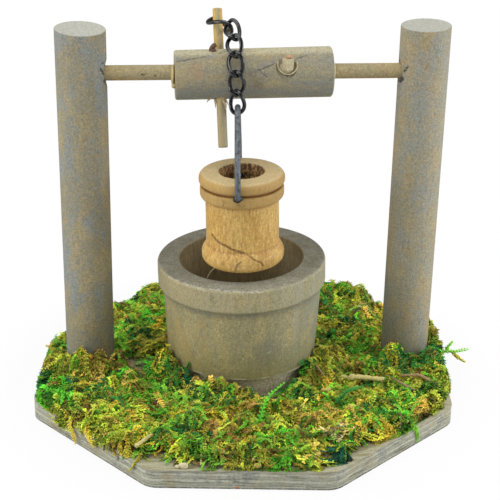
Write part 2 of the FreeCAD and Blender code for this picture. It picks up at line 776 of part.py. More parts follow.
def chain_joints():
    """Upper end of each free link's pitch, and last the place where the bail hangs."""
    pitch = link_pitch()
    spots = [Vector(mm("hook_x"), mm("hook_y"), mm("hook_z"))]
    for tilt, sway, _ in reversed(LINK_LEANS):
        spots.append(spots[-1] - link_down(tilt, sway) * pitch)
    return spots[::-1]


def link_pitch():
    """Distance from one meeting place to the next."""
    return mm("link_long") - 2 * mm("link_wire") - mm("link_play")


def link_down(tilt, sway):
    """Direction down a link that leans forward by tilt and sideways by sway."""
    lean = math.radians(tilt)
    side = math.radians(sway)
    return Vector(
        math.sin(side),
        -math.sin(lean) * math.cos(side),
        -math.cos(lean) * math.cos(side),
    )


def frame_from(up, right):
    """A rotation whose Z axis is up and whose X axis is nearest to right."""
    up = Vector(up).normalize()
    right = (Vector(right) - up * up.dot(right)).normalize()
    back = up.cross(right)
    return Placement(Matrix(
        right.x, back.x, up.x, 0,
        right.y, back.y, up.y, 0,
        right.z, back.z, up.z, 0,
        0, 0, 0, 1,
    )).Rotation


def add_solid(name, shape, placement=None):
    """A sub-part whose shape is worked out point by point."""
    item = doc.addObject("Part::Feature", name)
    item.Label = name
    item.Shape = shape
    if placement is not None:
        item.Placement = placement
    return item


def make_chain():
    """The opened link on the peg and the five links that hang from it."""
    wire = mm("link_wire") / 2
    twist = mm("link_twist")
    opened = link_line(mm("ring_long") / 2 - wire, mm("ring_wide") / 2 - wire, twist)
    middle = Vector(mm("ring_x"), mm("ring_y"), mm("ring_z"))
    turned = Rotation(mm("ring_yaw"), mm("ring_pitch"), mm("ring_roll"))
    add_solid("chain_link_1", closed_tube(*opened, wire), Placement(middle, turned))
    plain = link_line(mm("link_long") / 2 - wire, mm("link_wide") / 2 - wire, twist)
    for index, (tilt, sway, roll) in enumerate(LINK_LEANS):
        down = link_down(tilt, sway)
        middle = chain_joints()[index] + down * (link_pitch() / 2)
        turned = frame_from(down * -1, ALONG).multiply(Rotation(Vector(0, 0, 1), roll))
        name = "chain_link_%d" % (index + 2)
        add_solid(name, closed_tube(*plain, wire), Placement(middle, turned))


# The bail and the bucket share one frame, with Y along the line of the bail's feet

def swing_frame():
    """The frame of the bail's feet, at the height of the bucket's groove."""
    level = mm("bucket_z") + (mm("bucket_groove_low") + mm("bucket_groove_top")) / 2
    base = Vector(mm("bail_x"), mm("bail_y"), level)
    return Placement(base, Rotation(Vector(0, 0, 1), mm("bail_turn")))


def bail_line():
    """The bail's path in its own YZ plane, from the front foot over the crown."""
    crown_top = mm("hook_z") + mm("bail_dia") / 2 + mm("bail_play")
    crown = crown_top - swing_frame().Base.z - mm("bail_crown")
    half = mm("bail_half")
    bend = mm("bail_bend")
    shoulder = mm("bail_shoulder")
    low = bend + mm("bail_plumb")
    centre = Vector(0, half - shoulder, low)
    gap = Vector(0, -centre.y, crown - low)
    slope = math.atan2(gap.y, gap.z) * -1
    lift = math.asin((shoulder - mm("bail_crown")) / gap.Length)
    lean = slope + lift
    out = Vector(0, math.cos(lean), math.sin(lean))

    eighth = math.sin(math.pi / 4) * bend

    def leg(side, foot):
        points = [
            Vector(0, half - bend - foot, 0),
            Vector(0, half - bend, 0),
            Vector(0, half - bend + eighth, bend - eighth),
            Vector(0, half, bend),
            Vector(0, half, low),
            centre + Vector(0, math.cos(lean / 2), math.sin(lean / 2)) * shoulder,
            centre + out * shoulder,
            Vector(0, 0, crown) + out * mm("bail_crown"),
        ]
        return [Vector(0, p.y * side, p.z) for p in points]

    back = leg(1, mm("back_foot"))
    front = leg(-1, mm("front_foot"))
    top = Vector(0, 0, crown + mm("bail_crown"))
    edges = half_edges(front)
    edges.append(Part.Arc(front[7], top, back[7]).toShape())
    edges += half_edges(back)[::-1]
    return Part.Wire(Part.__sortEdges__(edges)), front[0]


def half_edges(p):
    """Foot, bend, plumb leg, shoulder and slanted leg of one side of the bail."""
    return [
        Part.LineSegment(p[0], p[1]).toShape(),
        Part.Arc(p[1], p[2], p[3]).toShape(),
        Part.LineSegment(p[3], p[4]).toShape(),
        Part.Arc(p[4], p[5], p[6]).toShape(),
        Part.LineSegment(p[6], p[7]).toShape(),
    ]


def make_bail():
    """The wire bail, whose feet turn in the bucket's two holes."""
    path, start = bail_line()
    section = Part.Wire(Part.Circle(start, Vector(0, 1, 0), mm("bail_dia") / 2).toShape())
    swept = path.makePipeShell([section], True, True)
    lengthwise = path.Length * math.pi * (mm("bail_dia") / 2) ** 2
    if abs(swept.Volume - lengthwise) > 0.02 * lengthwise:
        raise ValueError("the bail's volume differs from its section times its length")
    print("bail length %.1f mm" % path.Length)
    frame = swing_frame()
    crown = Vector(mm("hook_x"), mm("hook_y"), mm("hook_z")) - frame.Base
    lean = math.degrees(math.atan2(crown.x, crown.z))
    add_solid("bail", swept, turned_on_feet(frame, lean))


def turned_on_feet(frame, degrees):
    """The frame of the bail's feet, turned about the line of the feet."""
    about = Rotation(frame.Rotation.multVec(Vector(0, 1, 0)), degrees)
    return Placement(frame.Base, about.multiply(frame.Rotation))


def make_bucket():
    """The turned bucket: bottom ring, body, second ring, groove and top ring."""
    body = new_body("bucket")
    outline = new_sketch(body, "bucket_outline", "XZ_Plane")
    rings = [
        (dim("bucket_body_r"), dim("bucket_foot_top"), dim("bucket_ring_low")),
        (dim("bucket_ring_r"), dim("bucket_ring_low"), dim("bucket_groove_low")),
        (dim("bucket_groove_r"), dim("bucket_groove_low"), dim("bucket_groove_top")),
        (dim("bucket_top_r"), dim("bucket_groove_top"), dim("bucket_tall")),
    ]
    corners = [
        (0, 0),
        (dim("bucket_foot_r"), 0),
        (dim("bucket_foot_r"), dim("bucket_foot_wide")),
    ]
    for radius, low, high in rings:
        corners += [(radius, low), (radius, high)]
    corners += [
        (dim("bucket_bore_r"), dim("bucket_tall")),
        (dim("bucket_bore_r"), dim("bucket_floor")),
        (0, dim("bucket_floor")),
    ]
    add_outline(outline, corners)
    turn(body, outline, "bucket_turned")
    rounds = [
        ("foot_round", 0.0, "bucket_foot_r"),
        ("shoulder_round", mm("bucket_foot_wide"), "bucket_foot_r"),
        ("ring_round", mm("bucket_ring_low"), "bucket_ring_r"),
        ("ring_top_round", mm("bucket_groove_low"), "bucket_ring_r"),
        ("top_under_round", mm("bucket_groove_top"), "bucket_top_r"),
        ("top_round", mm("bucket_tall"), "bucket_top_r"),
        ("bore_edge", mm("bucket_tall"), "bucket_bore_r"),
    ]
    for name, height, ring in rounds:
        soften(body, "bucket_" + name, "Fillet", dim(name), circle_at(height, mm(ring)))
    level = (dim("bucket_groove_low") + dim("bucket_groove_top")) / 2
    hole = new_sketch(body, "bail_hole_section", "XZ_Plane")
    add_circle(hole, dim("bail_hole"), dim("bucket_off") * -1, level)
    pocket(body, hole, "bail_holes", both=True)
    frame = turned_on_feet(swing_frame(), -mm("bucket_lean"))
    down = Vector(mm("bucket_off"), 0, -level.value)
    place(body, frame.multVec(down), frame.Rotation)
    return body


# Moss: eight tufts of matted moss round the plate, each a mat with rounded mounds

TUFTS = 8
RIM_STEPS = 12
CORNER_POWER = 26

# Waves of the moss's edge: how many of them go round, their share and their phase
EDGE_WAVES = [
    (3, 0.45, 0.6),
    (11, 0.32, 0.0),
    (23, 0.23, 2.0),
]

# Mounds of a tuft: place across its span, place from the tub to its edge, and height
MOUNDS = [
    (0.24, 0.78, 0.55),
    (0.70, 0.86, 0.40),
    (0.50, 0.40, 0.85),
    (0.86, 0.22, 0.60),
    (0.12, 0.15, 0.75),
]


def plate_sides():
    """Direction and distance of each side of the plate, in the plate's own frame."""
    half = mm("plate_across") / 2
    side = half * math.tan(math.radians(22.5))
    sides = [(math.radians(45 * count), half) for count in range(8) if count != 3]
    low = Vector(-half, side - mm("plate_cut"), 0)
    run = Vector(-side, half, 0) - low
    outward = Vector(-run.y, run.x, 0).normalize()
    return sides + [(math.atan2(outward.y, outward.x), low * outward)]


def moss_edge(angle):
    """Distance of the moss's edge from the centre, in the plate's own frame.

    The sum of high powers takes the nearest side and rounds the corners.
    """
    near = 0.0
    for facing, distance in plate_sides():
        share = max(math.cos(angle - facing), 0.0) / (distance - mm("moss_inset"))
        near += share ** CORNER_POWER
    wander = sum(share * math.sin(count * angle + phase) for count, share, phase in EDGE_WAVES)
    return near ** (-1.0 / CORNER_POWER) + mm("moss_wave") * (wander - 0.5)


def make_tuft(number):
    """One tuft: a mat between two rays from the tub, with mounds on it."""
    span = 2 * math.pi / TUFTS
    start = number * span
    floor = mm("plate_thick")
    rim = []
    for index in range(RIM_STEPS + 1):
        angle = start + span * index / RIM_STEPS
        reach = moss_edge(angle)
        rim.append(Vector(reach * math.cos(angle), reach * math.sin(angle), floor))
    centre = Vector(0, 0, floor)
    edge = Part.BSplineCurve()
    edge.interpolate(rim)
    outline = Part.Wire([
        Part.LineSegment(centre, rim[0]).toShape(),
        edge.toShape(),
        Part.LineSegment(rim[-1], centre).toShape(),
    ])
    face = Part.Face(outline)
    tall = mm("moss_mat") + 3 * mm("moss_mound")
    column = face.extrude(Vector(0, 0, tall))
    tuft = face.extrude(Vector(0, 0, mm("moss_mat")))
    for across, outward, height in MOUNDS:
        middle = start + span * across
        away = mm("moss_start") + outward * (moss_edge(middle) - mm("moss_start"))
        radius = mm("mound_r") + mm("mound_grow") * height
        top = floor + mm("moss_mat") + mm("moss_mound") * height
        spot = Vector(away * math.cos(middle), away * math.sin(middle), top - radius)
        tuft = tuft.fuse(Part.makeSphere(radius, spot).common(column))
    tuft = tuft.removeSplitter()
    tuft.rotate(Vector(0, 0, 0), Vector(0, 0, 1), mm("plate_turn"))
    gap = mm("moss_gap")
    tuft = tuft.cut(wood_in_moss(gap))
    for angle in (start, start + span):
        ray = Part.makeBox(mm("plate_across"), gap, 3 * tall, Vector(0, -gap / 2, 0))
        ray.rotate(Vector(0, 0, 0), Vector(0, 0, 1), math.degrees(angle) + mm("plate_turn"))
        tuft = tuft.cut(ray)
    pieces = sorted(tuft.Solids, key=lambda solid: solid.Volume)
    return pieces[-1]


def wood_in_moss(gap):
    """The posts and the tub, grown by the gap, to cut out of the moss."""
    tall = mm("tub_tall")
    tools = []
    for alias in ("post_left_x", "post_right_x"):
        spot = Vector(mm(alias), 0, 0)
        tools.append(Part.makeCylinder(mm("post_dia") / 2 + gap, tall, spot))
    spot = Vector(mm("tub_x"), 0, 0)
    tools.append(Part.makeCylinder(mm("tub_low_r") + gap, tall, spot))
    return tools[0].fuse(tools[1:])


def make_moss():
    """All the tufts of moss, numbered counter-clockwise from the right."""
    for number in range(TUFTS):
        add_solid("moss_tuft_%d" % (number + 1), make_tuft(number))


# Build, check and write

make_plate()
make_post("left", 0)
make_post("right", 180)
make_tub()
make_screws()
make_roller()
make_stubs()
make_peg()
make_dowel()
make_chain()
make_bail()
make_bucket()
make_moss()
doc.recompute()

NODES = ["base_plate", "left_post", "right_post", "well_tub", "base_screws"]
NODES += ["windlass_roller", "left_axle_stub", "right_axle_stub", "handle_peg", "cross_dowel"]
NODES += ["chain_link_%d" % number for number in range(1, 7)]
NODES += ["bail", "bucket"]
NODES += ["moss_tuft_%d" % (number + 1) for number in range(TUFTS)]

for item in doc.Objects:
    if "Invalid" in item.State or "Error" in item.State:
        raise ValueError("%s did not compute" % item.Name)

os.makedirs("parts", exist_ok=True)
for node in NODES:
    item = doc.getObject(node)
    shape = item.Shape
    if shape.isNull() or not shape.isValid() or not shape.Solids:
        raise ValueError("%s has no valid solid" % node)
for node in NODES:
    shape = doc.getObject(node).Shape
    shape.exportStep("parts/%s.step" % node)
    print("%-16s %d solid(s) %9.1f mm3" % (node, len(shape.Solids), shape.Volume))

meetings = [FIRST_MEETING] + chain_joints()[1:]
feet = swing_frame()
meetings += [feet.Base, feet.Rotation.multVec(Vector(0, 1, 0))]
print("pivots", [[round(c, 4) for c in (spot.x, spot.y, spot.z)] for spot in meetings])
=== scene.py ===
"""Looks of a miniature wishing well: finishes for its wood and wire, and its moss.

All lengths in this file are millimetres in the frame's axes until a mesh is made.
"""

import logging
import math
from dataclasses import dataclass, field
from enum import Enum
from typing import Any, Callable, Optional, Sequence, Union

import bpy
import numpy as np
from mathutils import Matrix, Vector


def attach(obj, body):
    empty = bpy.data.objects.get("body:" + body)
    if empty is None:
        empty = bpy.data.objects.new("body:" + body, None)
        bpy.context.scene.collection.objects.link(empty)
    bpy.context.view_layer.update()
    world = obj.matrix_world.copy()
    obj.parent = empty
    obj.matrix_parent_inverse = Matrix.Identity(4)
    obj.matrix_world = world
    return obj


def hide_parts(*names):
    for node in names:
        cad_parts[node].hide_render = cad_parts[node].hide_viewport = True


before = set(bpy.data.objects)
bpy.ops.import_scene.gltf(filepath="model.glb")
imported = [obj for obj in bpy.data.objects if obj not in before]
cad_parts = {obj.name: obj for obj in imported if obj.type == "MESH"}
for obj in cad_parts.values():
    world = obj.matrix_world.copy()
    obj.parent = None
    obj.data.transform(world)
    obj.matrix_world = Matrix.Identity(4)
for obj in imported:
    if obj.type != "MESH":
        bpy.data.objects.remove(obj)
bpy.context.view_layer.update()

log = logging.getLogger("wishing_well")

MM = 0.001
WHITE = (1.0, 1.0, 1.0, 1.0)
Material, Object, Socket = bpy.types.Material, bpy.types.Object, bpy.types.NodeSocket
Triple = tuple[float, float, float]
Shown = tuple[int, int, int]
Number = Union["Wire", float]
Colour = Union[Socket, Shown]
Points = np.ndarray
Skin = tuple[Points, Points]


class Axis(Enum):
    """The direction that a piece's wood fibres run in."""

    ACROSS = 0
    DEEP = 1
    UPRIGHT = 2


def tint(red: int, green: int, blue: int) -> Triple:
    """A colour given as it shows on a screen, as the linear numbers that shaders take."""
    shown = np.array((red, green, blue), float) / 255.0
    linear = np.where(shown <= 0.04045, shown / 12.92, ((shown + 0.055) / 1.055) ** 2.4)
    return tuple(linear.tolist())


def table(kind: Callable[..., Any], *rows: tuple[Any, ...]) -> tuple[Any, ...]:
    """One thing of a kind from each row of its fields."""
    return tuple(kind(*row) for row in rows)


# Shader maths


def operator(name: str, swapped: bool = False) -> Callable[["Wire", Number], "Wire"]:
    """One arithmetic operator of Wire.

    Args:
        name: the Math node's operation.
        swapped: whether the other number comes first.

    Returns:
        The method, which adds one Math node.
    """

    def act(self: "Wire", other: Number) -> "Wire":
        """Joins the two numbers."""
        return self.bench.maths(name, *((other, self) if swapped else (self, other)))

    return act


class Wire:
    """A number on its way through a material's nodes; arithmetic on it adds Math nodes.

    The signs | and & give the larger and the smaller of two numbers.
    """

    def __init__(self, bench: "Bench", socket: Socket) -> None:
        """Wraps an output socket of a node on the bench."""
        self.bench = bench
        self.socket = socket

    __add__, __radd__ = operator("ADD"), operator("ADD", True)
    __sub__, __rsub__ = operator("SUBTRACT"), operator("SUBTRACT", True)
    __mul__, __rmul__ = operator("MULTIPLY"), operator("MULTIPLY", True)
    __truediv__ = operator("DIVIDE")
    __or__, __and__ = operator("MAXIMUM"), operator("MINIMUM")

    def rise(self, low: float, high: float) -> "Wire":
        """Climbs smoothly from 0 at low to 1 at high; with low above high it falls instead."""
        node = self.bench.node("ShaderNodeMapRange", {"interpolation_type": "SMOOTHSTEP"},
                               {"Value": self, "From Min": low, "From Max": high})
        return Wire(self.bench, node.outputs["Result"])


class Bench:
    """One material's node tree, with short ways to the nodes that the finishes share."""

    def __init__(self, name: str) -> None:
        """Starts a material with nothing but its surface shader and output."""
        self.material = bpy.data.materials.new(name)
        self.material.use_nodes = True
        self.tree = self.material.node_tree
        self.tree.nodes.clear()
        self.output = self.tree.nodes.new("ShaderNodeOutputMaterial")
        self.shader = self.tree.nodes.new("ShaderNodeBsdfPrincipled")
        self.tree.links.new(self.shader.outputs[0], self.output.inputs["Surface"])

    def plug(self, socket: Socket, value: Any) -> None:
        """Links or sets one input socket.

        Args:
            socket: the input to feed.
            value: a Wire, an output socket, a number or a tuple; three numbers for a colour
                are the colour as it shows on a screen.
        """
        if isinstance(value, Wire):
            value = value.socket
        if isinstance(value, Socket):
            self.tree.links.new(value, socket)
        elif isinstance(value, tuple) and len(value) == 3 and socket.type == "RGBA":
            socket.default_value = (*tint(*value), 1.0)
        else:
            socket.default_value = value

    def node(self, kind: str, settings: dict[str, Any], inputs: dict[Any, Any]) -> bpy.types.Node:
        """Adds any node.

        Args:
            kind: the node's type name.
            settings: its own properties.
            inputs: values or links by socket name or number.

        Returns:
            The new node.
        """
        made = self.tree.nodes.new(kind)
        for name, value in settings.items():
            setattr(made, name, value)
        for name, value in inputs.items():
            self.plug(made.inputs[name], value)
        return made

    def maths(self, operation: str, *terms: Number) -> Wire:
        """A Math node on one or two terms."""
        node = self.node("ShaderNodeMath", {"operation": operation}, dict(enumerate(terms)))
        return Wire(self, node.outputs[0])

    def vectors(self, operation: str, *terms: Any, scale: Optional[Number] = None) -> Any:
        """A Vector Math node; DOT_PRODUCT, DISTANCE and LENGTH give a Wire."""
        inputs: dict[Any, Any] = dict(enumerate(terms))
        if scale is not None:
            inputs["Scale"] = scale
        node = self.node("ShaderNodeVectorMath", {"operation": operation}, inputs)
        if operation in ("DOT_PRODUCT", "DISTANCE", "LENGTH"):
            return Wire(self, node.outputs["Value"])
        return node.outputs["Vector"]

    def times(self, where: Any, *factors: float) -> Socket:
        """A vector with each part times its own number."""
        return self.vectors("MULTIPLY", where, factors)

    def plus(self, where: Any, *shift: float) -> Socket:
        """A vector moved by three numbers."""
        return self.vectors("ADD", where, shift)

    def place(self) -> Socket:
        """The point on the piece, in millimetres in the frame's axes."""
        where = self.node("ShaderNodeTexCoord", {}, {})
        return self.vectors("SCALE", where.outputs["Object"], scale=1.0 / MM)

    def facing(self) -> tuple[Wire, ...]:
        """The three parts of the direction that the surface faces, in the piece's own axes."""
        return self.split(self.node("ShaderNodeTexCoord", {}, {}).outputs["Normal"])

    def split(self, vector: Socket) -> tuple[Wire, ...]:
        """The three parts of a vector."""
        node = self.node("ShaderNodeSeparateXYZ", {}, {0: vector})
        return tuple(Wire(self, part) for part in node.outputs)

    def clouds(self, where: Any, size: float, detail: float, rough: float) -> bpy.types.Node:
        """A noise node that is read at a vector in millimetres."""
        return self.node("ShaderNodeTexNoise", {"noise_dimensions": "3D"}, {
            "Vector": where, "Scale": 1.0 / size, "Detail": detail, "Roughness": rough})

    def noise(self, where: Any, size: float, detail: float, rough: float) -> Wire:
        """Cloudy noise around 0.5.

        Args:
            where: the vector to read it at, in millimetres.
            size: width of its largest features.
            detail: number of finer octaves.
            rough: weight of the finer octaves.

        Returns:
            The noise as a number.
        """
        return Wire(self, self.clouds(where, size, detail, rough).outputs["Fac"])

    def cells(self, where: Any, size: float) -> Wire:
        """Distance to the nearest of scattered points, in units of their spacing."""
        node = self.node("ShaderNodeTexVoronoi", {"feature": "F1"},
                         {"Vector": where, "Scale": 1.0 / size})
        return Wire(self, node.outputs["Distance"])

    def shaken(self, where: Any, size: float, by: float) -> Socket:
        """The point moved about by noise.

        Args:
            where: the point, in millimetres.
            size: width of the noise's features.
            by: the largest move.

        Returns:
            The moved point.
        """
        noise = self.clouds(where, size, 2.0, 0.5).outputs["Color"]
        centred = self.vectors("SUBTRACT", noise, (0.5, 0.5, 0.5))
        return self.vectors("ADD", where, self.vectors("SCALE", centred, scale=2.0 * by))

    def line_distance(self, where: Any, stops: Sequence[Triple]) -> Wire:
        """Distance from a bent line, the least over its straight runs.

        For each run from a to b the nearest point is a + t (b - a), with t the point's share
        along the run held between 0 and 1.

        Args:
            where: the point, in millimetres.
            stops: the line's ends and bends.

        Returns:
            The distance in millimetres.
        """
        gaps = []
        for start, end in zip(stops[:-1], stops[1:]):
            run = np.subtract(end, start)
            way = tuple(run.tolist())
            away = self.vectors("SUBTRACT", where, start)
            share = self.vectors("DOT_PRODUCT", away, way) / float(run @ run)
            nearest = self.vectors("SCALE", way, scale=(share | 0.0) & 1.0)
            gaps.append(self.vectors("DISTANCE", away, nearest))
        least = gaps[0]
        for gap in gaps[1:]:
            least = least & gap
        return least

    def blend(self, base: Colour, *coats: tuple[Colour, Number]) -> Any:
        """Lays colours over one another in turn.

        Args:
            base: the lowest colour.
            coats: each further colour, with how much of it is laid on, from 0 to 1.

        Returns:
            The mixed colour.
        """
        for top, amount in coats:
            base = self.node("ShaderNodeMix", {"data_type": "RGBA"},
                             {0: amount, 6: base, 7: top}).outputs[2]
        return base

    def shade(self, base: Any, factor: Number) -> Any:
        """A colour made lighter or darker by a factor around 1."""
        return self.vectors("SCALE", base, scale=factor)

    def finish(self, colour: Any, rough: Number, height: Optional[Wire] = None,
               metallic: float = 0.0) -> Material:
        """Feeds the surface shader.

        Args:
            colour: the base colour.
            rough: the roughness.
            height: relief in millimetres, if the finish has any.
            metallic: 1 for bare metal.

        Returns:
            The finished material.
        """
        feeds = {"Base Color": colour, "Roughness": rough, "Metallic": metallic}
        if height is not None:
            bump = self.node("ShaderNodeBump", {}, {"Height": height, "Distance": MM})
            feeds["Normal"] = bump.outputs[0]
        for name, value in feeds.items():
            self.plug(self.shader.inputs[name], value)
        return self.material


# Finishes


@dataclass(frozen=True)
class Mark:
    """A line drawn on a surface: a crack, a scratch, a stain, or a band of painted light or shade."""

    stops: tuple[Triple, ...]
    wide: float
    colour: Shown
    share: float = 0.8
    deep: float = 0.1
    ragged: float = 0.35

    def lay(self, bench: Bench, where: Any, colour: Any, relief: Wire) -> tuple[Any, Wire]:
        """Draws the line into a colour and a relief.

        Args:
            bench: the material at work.
            where: the point, in millimetres.
            colour: the colour below.
            relief: the relief below.

        Returns:
            The new colour and the new relief.
        """
        moved = bench.shaken(where, 0.9, self.ragged * self.wide)
        cover = bench.line_distance(moved, self.stops).rise(self.wide, self.wide * 0.4)
        cover = cover * bench.noise(where, 0.7, 2.0, 0.6).rise(0.30, 0.52)
        return bench.blend(colour, (self.colour, cover * self.share)), relief - cover * self.deep


@dataclass(frozen=True)
class WeatheredWood:
    """Round wood under a thin grey stain: grain, mottling and bluish patches.

    Upright wood is darker towards its foot, most of all on the side of the tub: partly stain,
    partly painted shade from the tub and the moss.
    """

    name: str
    along: Axis
    tan: Shown
    grey: Shown
    blue: Shown
    dark: Shown
    blue_share: float = 0.2
    grain: float = 1.0
    seed: Triple = (0.0, 0.0, 0.0)
    end: Shown = (184, 185, 172)

    def with_fibres(self, parts: Triple, along: float) -> Triple:
        """Three numbers, with another in the place of the fibres' direction."""
        mixed = list(parts)
        mixed[self.along.value] = along
        return tuple(mixed)

    def streaks(self, bench: Bench, where: Any, ratio: float, *looks: float) -> Wire:
        """Noise that is drawn out along the fibres: the ratio squeezes the point there."""
        squeezed = bench.times(where, *self.with_fibres((1.0, 1.0, 1.0), ratio))
        return bench.noise(squeezed, *looks)

    def body(self, bench: Bench, where: Any) -> tuple[Any, Wire]:
        """Colour and relief of the long sides.

        Args:
            bench: the material at work.
            where: the point, in millimetres.

        Returns:
            The colour, and the relief in millimetres.
        """
        where = bench.plus(where, *self.seed)
        other = bench.plus(where, 31.0, 7.0, 5.0)
        patch = self.streaks(bench, where, 0.5, 6.5, 4.0, 0.62)
        haze = self.streaks(bench, other, 0.45, 8.0, 5.0, 0.66)
        streak = self.streaks(bench, where, 0.16, 0.9, 4.0, 0.7)
        speck = bench.noise(where, 0.75, 3.0, 0.75)
        fleck = bench.noise(other, 1.0, 3.0, 0.72)
        pit = bench.cells(where, 1.7).rise(0.17, 0.07) * patch.rise(0.48, 0.60)
        fine = bench.noise(bench.plus(where, 3.0, 17.0, 11.0), 0.42, 2.0, 0.7)
        colour = bench.blend(
            self.grey,
            (self.tan, patch.rise(0.44, 0.60) * 0.8),
            (self.blue, haze.rise(0.46, 0.60) * 0.85 * self.blue_share),
            (self.blue, fleck.rise(0.53, 0.62) * 0.6 * self.blue_share),
            (self.tan, fleck.rise(0.47, 0.38) * 0.5),
            (self.dark, streak.rise(0.54, 0.72) * 0.28),
            (self.dark, pit * 0.55),
        )
        colour = bench.shade(colour, 1.0 + (speck + fine - 1.0) * (1.15 * self.grain))
        return colour, streak * 0.05 + speck * 0.16 + fine * 0.08 - pit * 0.08

    def dress(self, *marks: Mark) -> Material:
        """The whole finish, with paler sawn ends that show faint rings.

        Args:
            marks: lines drawn on the wood.

        Returns:
            The finished material.
        """
        bench = Bench(self.name)
        where = bench.place()
        colour, relief = self.body(bench, where)
        lengthwise = bench.facing()[self.along.value]
        sawn = (lengthwise * lengthwise).rise(0.75, 0.92)
        across = self.with_fibres((1.0, 1.0, 1.0), 0.0)
        pith = self.with_fibres((9.0 + self.seed[0], 14.0, 20.0), 0.0)
        spread = bench.times(bench.shaken(where, 2.0, 0.5), *across)
        ring = bench.maths("SINE", bench.vectors("DISTANCE", spread, pith) * 2.6)
        grain = bench.noise(where, 0.6, 4.0, 0.8)
        ends = bench.blend(self.end, (self.grey, (ring * 0.5 + 0.5) * 0.10))
        ends = bench.shade(ends, 1.0 + (grain - 0.5) * 1.5)
        colour = bench.blend(colour, (ends, sawn))
        relief = relief + grain * 0.1 * sawn
        for mark in marks:
            colour, relief = mark.lay(bench, where, colour, relief)
        # Darker towards the foot, most on the side that faces the tub: partly stain, partly painted
        # shade.
        if self.along is Axis.UPRIGHT:
            x, _, z = bench.split(where)
            inner = bench.maths("ABSOLUTE", x).rise(59.0, 50.0)
            colour = bench.shade(colour, 1.0 - (0.08 + 0.20 * inner) * z.rise(40.0, 14.0))
        return bench.finish(colour, 0.8, relief)


@dataclass(frozen=True)
class Gunmetal:
    """Dark blackened wire with worn, slightly lighter highs and darker blotches."""

    name: str
    colour: Shown
    worn: Shown
    blotch: Shown
    rough: float
    metallic: float
    coat: float = 0.0
    mottled: float = 0.3
    coat_rough: float = 0.10

    def dress(self) -> Material:
        """The whole finish."""
        bench = Bench(self.name)
        where = bench.place()
        rub = bench.noise(where, 0.9, 4.0, 0.65)
        spots = bench.noise(bench.plus(where, 5.0, 9.0, 2.0), 1.3, 4.0, 0.7)
        pit = bench.noise(where, 0.25, 2.0, 0.6)
        colour = bench.blend(self.colour, (self.worn, rub.rise(0.50, 0.68) * 0.7),
                             (self.blotch, spots.rise(0.50, 0.62) * self.mottled))
        rough = self.rough + 0.3 * (rub - 0.5) + 0.15 * (pit - 0.5)
        bench.plug(bench.shader.inputs["Coat Weight"], self.coat)
        bench.plug(bench.shader.inputs["Coat Roughness"], self.coat_rough)
        return bench.finish(colour, rough, pit * 0.04 + rub * 0.06, self.metallic)


# Surfaces


def raise_mesh(name: str, points: Points, faces: Points, smooth: bool = True) -> Object:
    """Puts worked-out points and faces into a new object at the origin.

    Args:
        name: the piece's name.
        points: places in millimetres, one row each.
        faces: corner numbers, one row of three or four for each face.
        smooth: whether the faces shade smoothly.

    Returns:
        The new object.
    """
    mesh = bpy.data.meshes.new(name)
    mesh.from_pydata((points * MM).tolist(), [], faces.tolist())
    mesh.polygons.foreach_set("use_smooth", np.full(len(faces), smooth))
    mesh.update()
    piece = bpy.data.objects.new(name, mesh)
    bpy.context.scene.collection.objects.link(piece)
    return piece


def grid_faces(rows: int, columns: int, closed: bool) -> Points:
    """Corner numbers of the quads on a grid of points, as whole arrays.

    Args:
        rows: number of rows of points.
        columns: number of points in a row.
        closed: whether each row closes on itself.

    Returns:
        One row of four corner numbers for each quad.
    """
    i, j = np.meshgrid(np.arange(rows - 1), np.arange(columns - (not closed)), indexing="ij")
    here, right = i * columns + j, i * columns + (j + 1) % columns
    return np.stack((here, right, right + columns, here + columns), -1).reshape(-1, 4)


def capped_faces(rows: int, sides: int, flipped: bool) -> Points:
    """Triangles of a skin of closed rows of points, with one more point at each end.

    Args:
        rows: number of rows.
        sides: points in a row; the two end points come after all rows.
        flipped: whether the faces turn the other way round.

    Returns:
        One row of three corner numbers for each triangle.
    """
    quads = grid_faces(rows, sides, True)
    count = rows * sides
    here = np.arange(sides)
    after = (here + 1) % sides
    last = count - sides
    start = np.stack((np.full(sides, count), after, here), -1)
    end = np.stack((np.full(sides, count + 1), last + here, last + after), -1)
    if flipped:
        quads, start, end = quads[:, ::-1], start[:, [0, 2, 1]], end[:, [0, 2, 1]]
    return np.vstack((quads[:, [0, 1, 2]], quads[:, [0, 2, 3]], start, end))


def lump(centre: Triple, sizes: Triple, rough: float, seed: int, lean: float = 0.0,
         rings: int = 12, sides: int = 18) -> Skin:
    """A closed uneven drop.

    The point at polar angle u and azimuth v is the unit ball's, times one plus a sum of sines of
    its own coordinates, times the three half sizes, turned about the x axis, and moved to the
    centre. The poles are single points.

    Args:
        centre: its middle.
        sizes: its three half sizes.
        rough: how uneven it is.
        seed: which unevenness.
        lean: its turn about the x axis, in radians.
        rings: rows between the poles.
        sides: points in a row.

    Returns:
        Points and faces.
    """
    u = np.linspace(0, math.pi, rings + 2)[1:-1, None]
    v = np.linspace(0, 2 * math.pi, sides, endpoint=False)[None, :]
    ball = np.stack((np.sin(u) * np.cos(v), np.sin(u) * np.sin(v), np.cos(u) * np.ones_like(v)), -1)
    ball = np.vstack((ball.reshape(-1, 3), [[0, 0, 1.0], [0, 0, -1.0]]))
    rng = np.random.default_rng(seed)
    waves = rng.normal(size=(5, 3)) * 2.2
    shift = rng.uniform(0, 6.28, 5)
    uneven = 1 + rough * np.sin(ball @ waves.T + shift).sum(1) / 2.2
    points = ball * uneven[:, None] * np.array(sizes)
    turn = np.array(Matrix.Rotation(lean, 3, "X"))
    return points @ turn.T + np.array(centre), capped_faces(rings, sides, True)


def unit(vectors: Points) -> Points:
    """The vectors brought to length one."""
    return vectors / np.maximum(np.linalg.norm(vectors, axis=-1, keepdims=True), 1e-9)


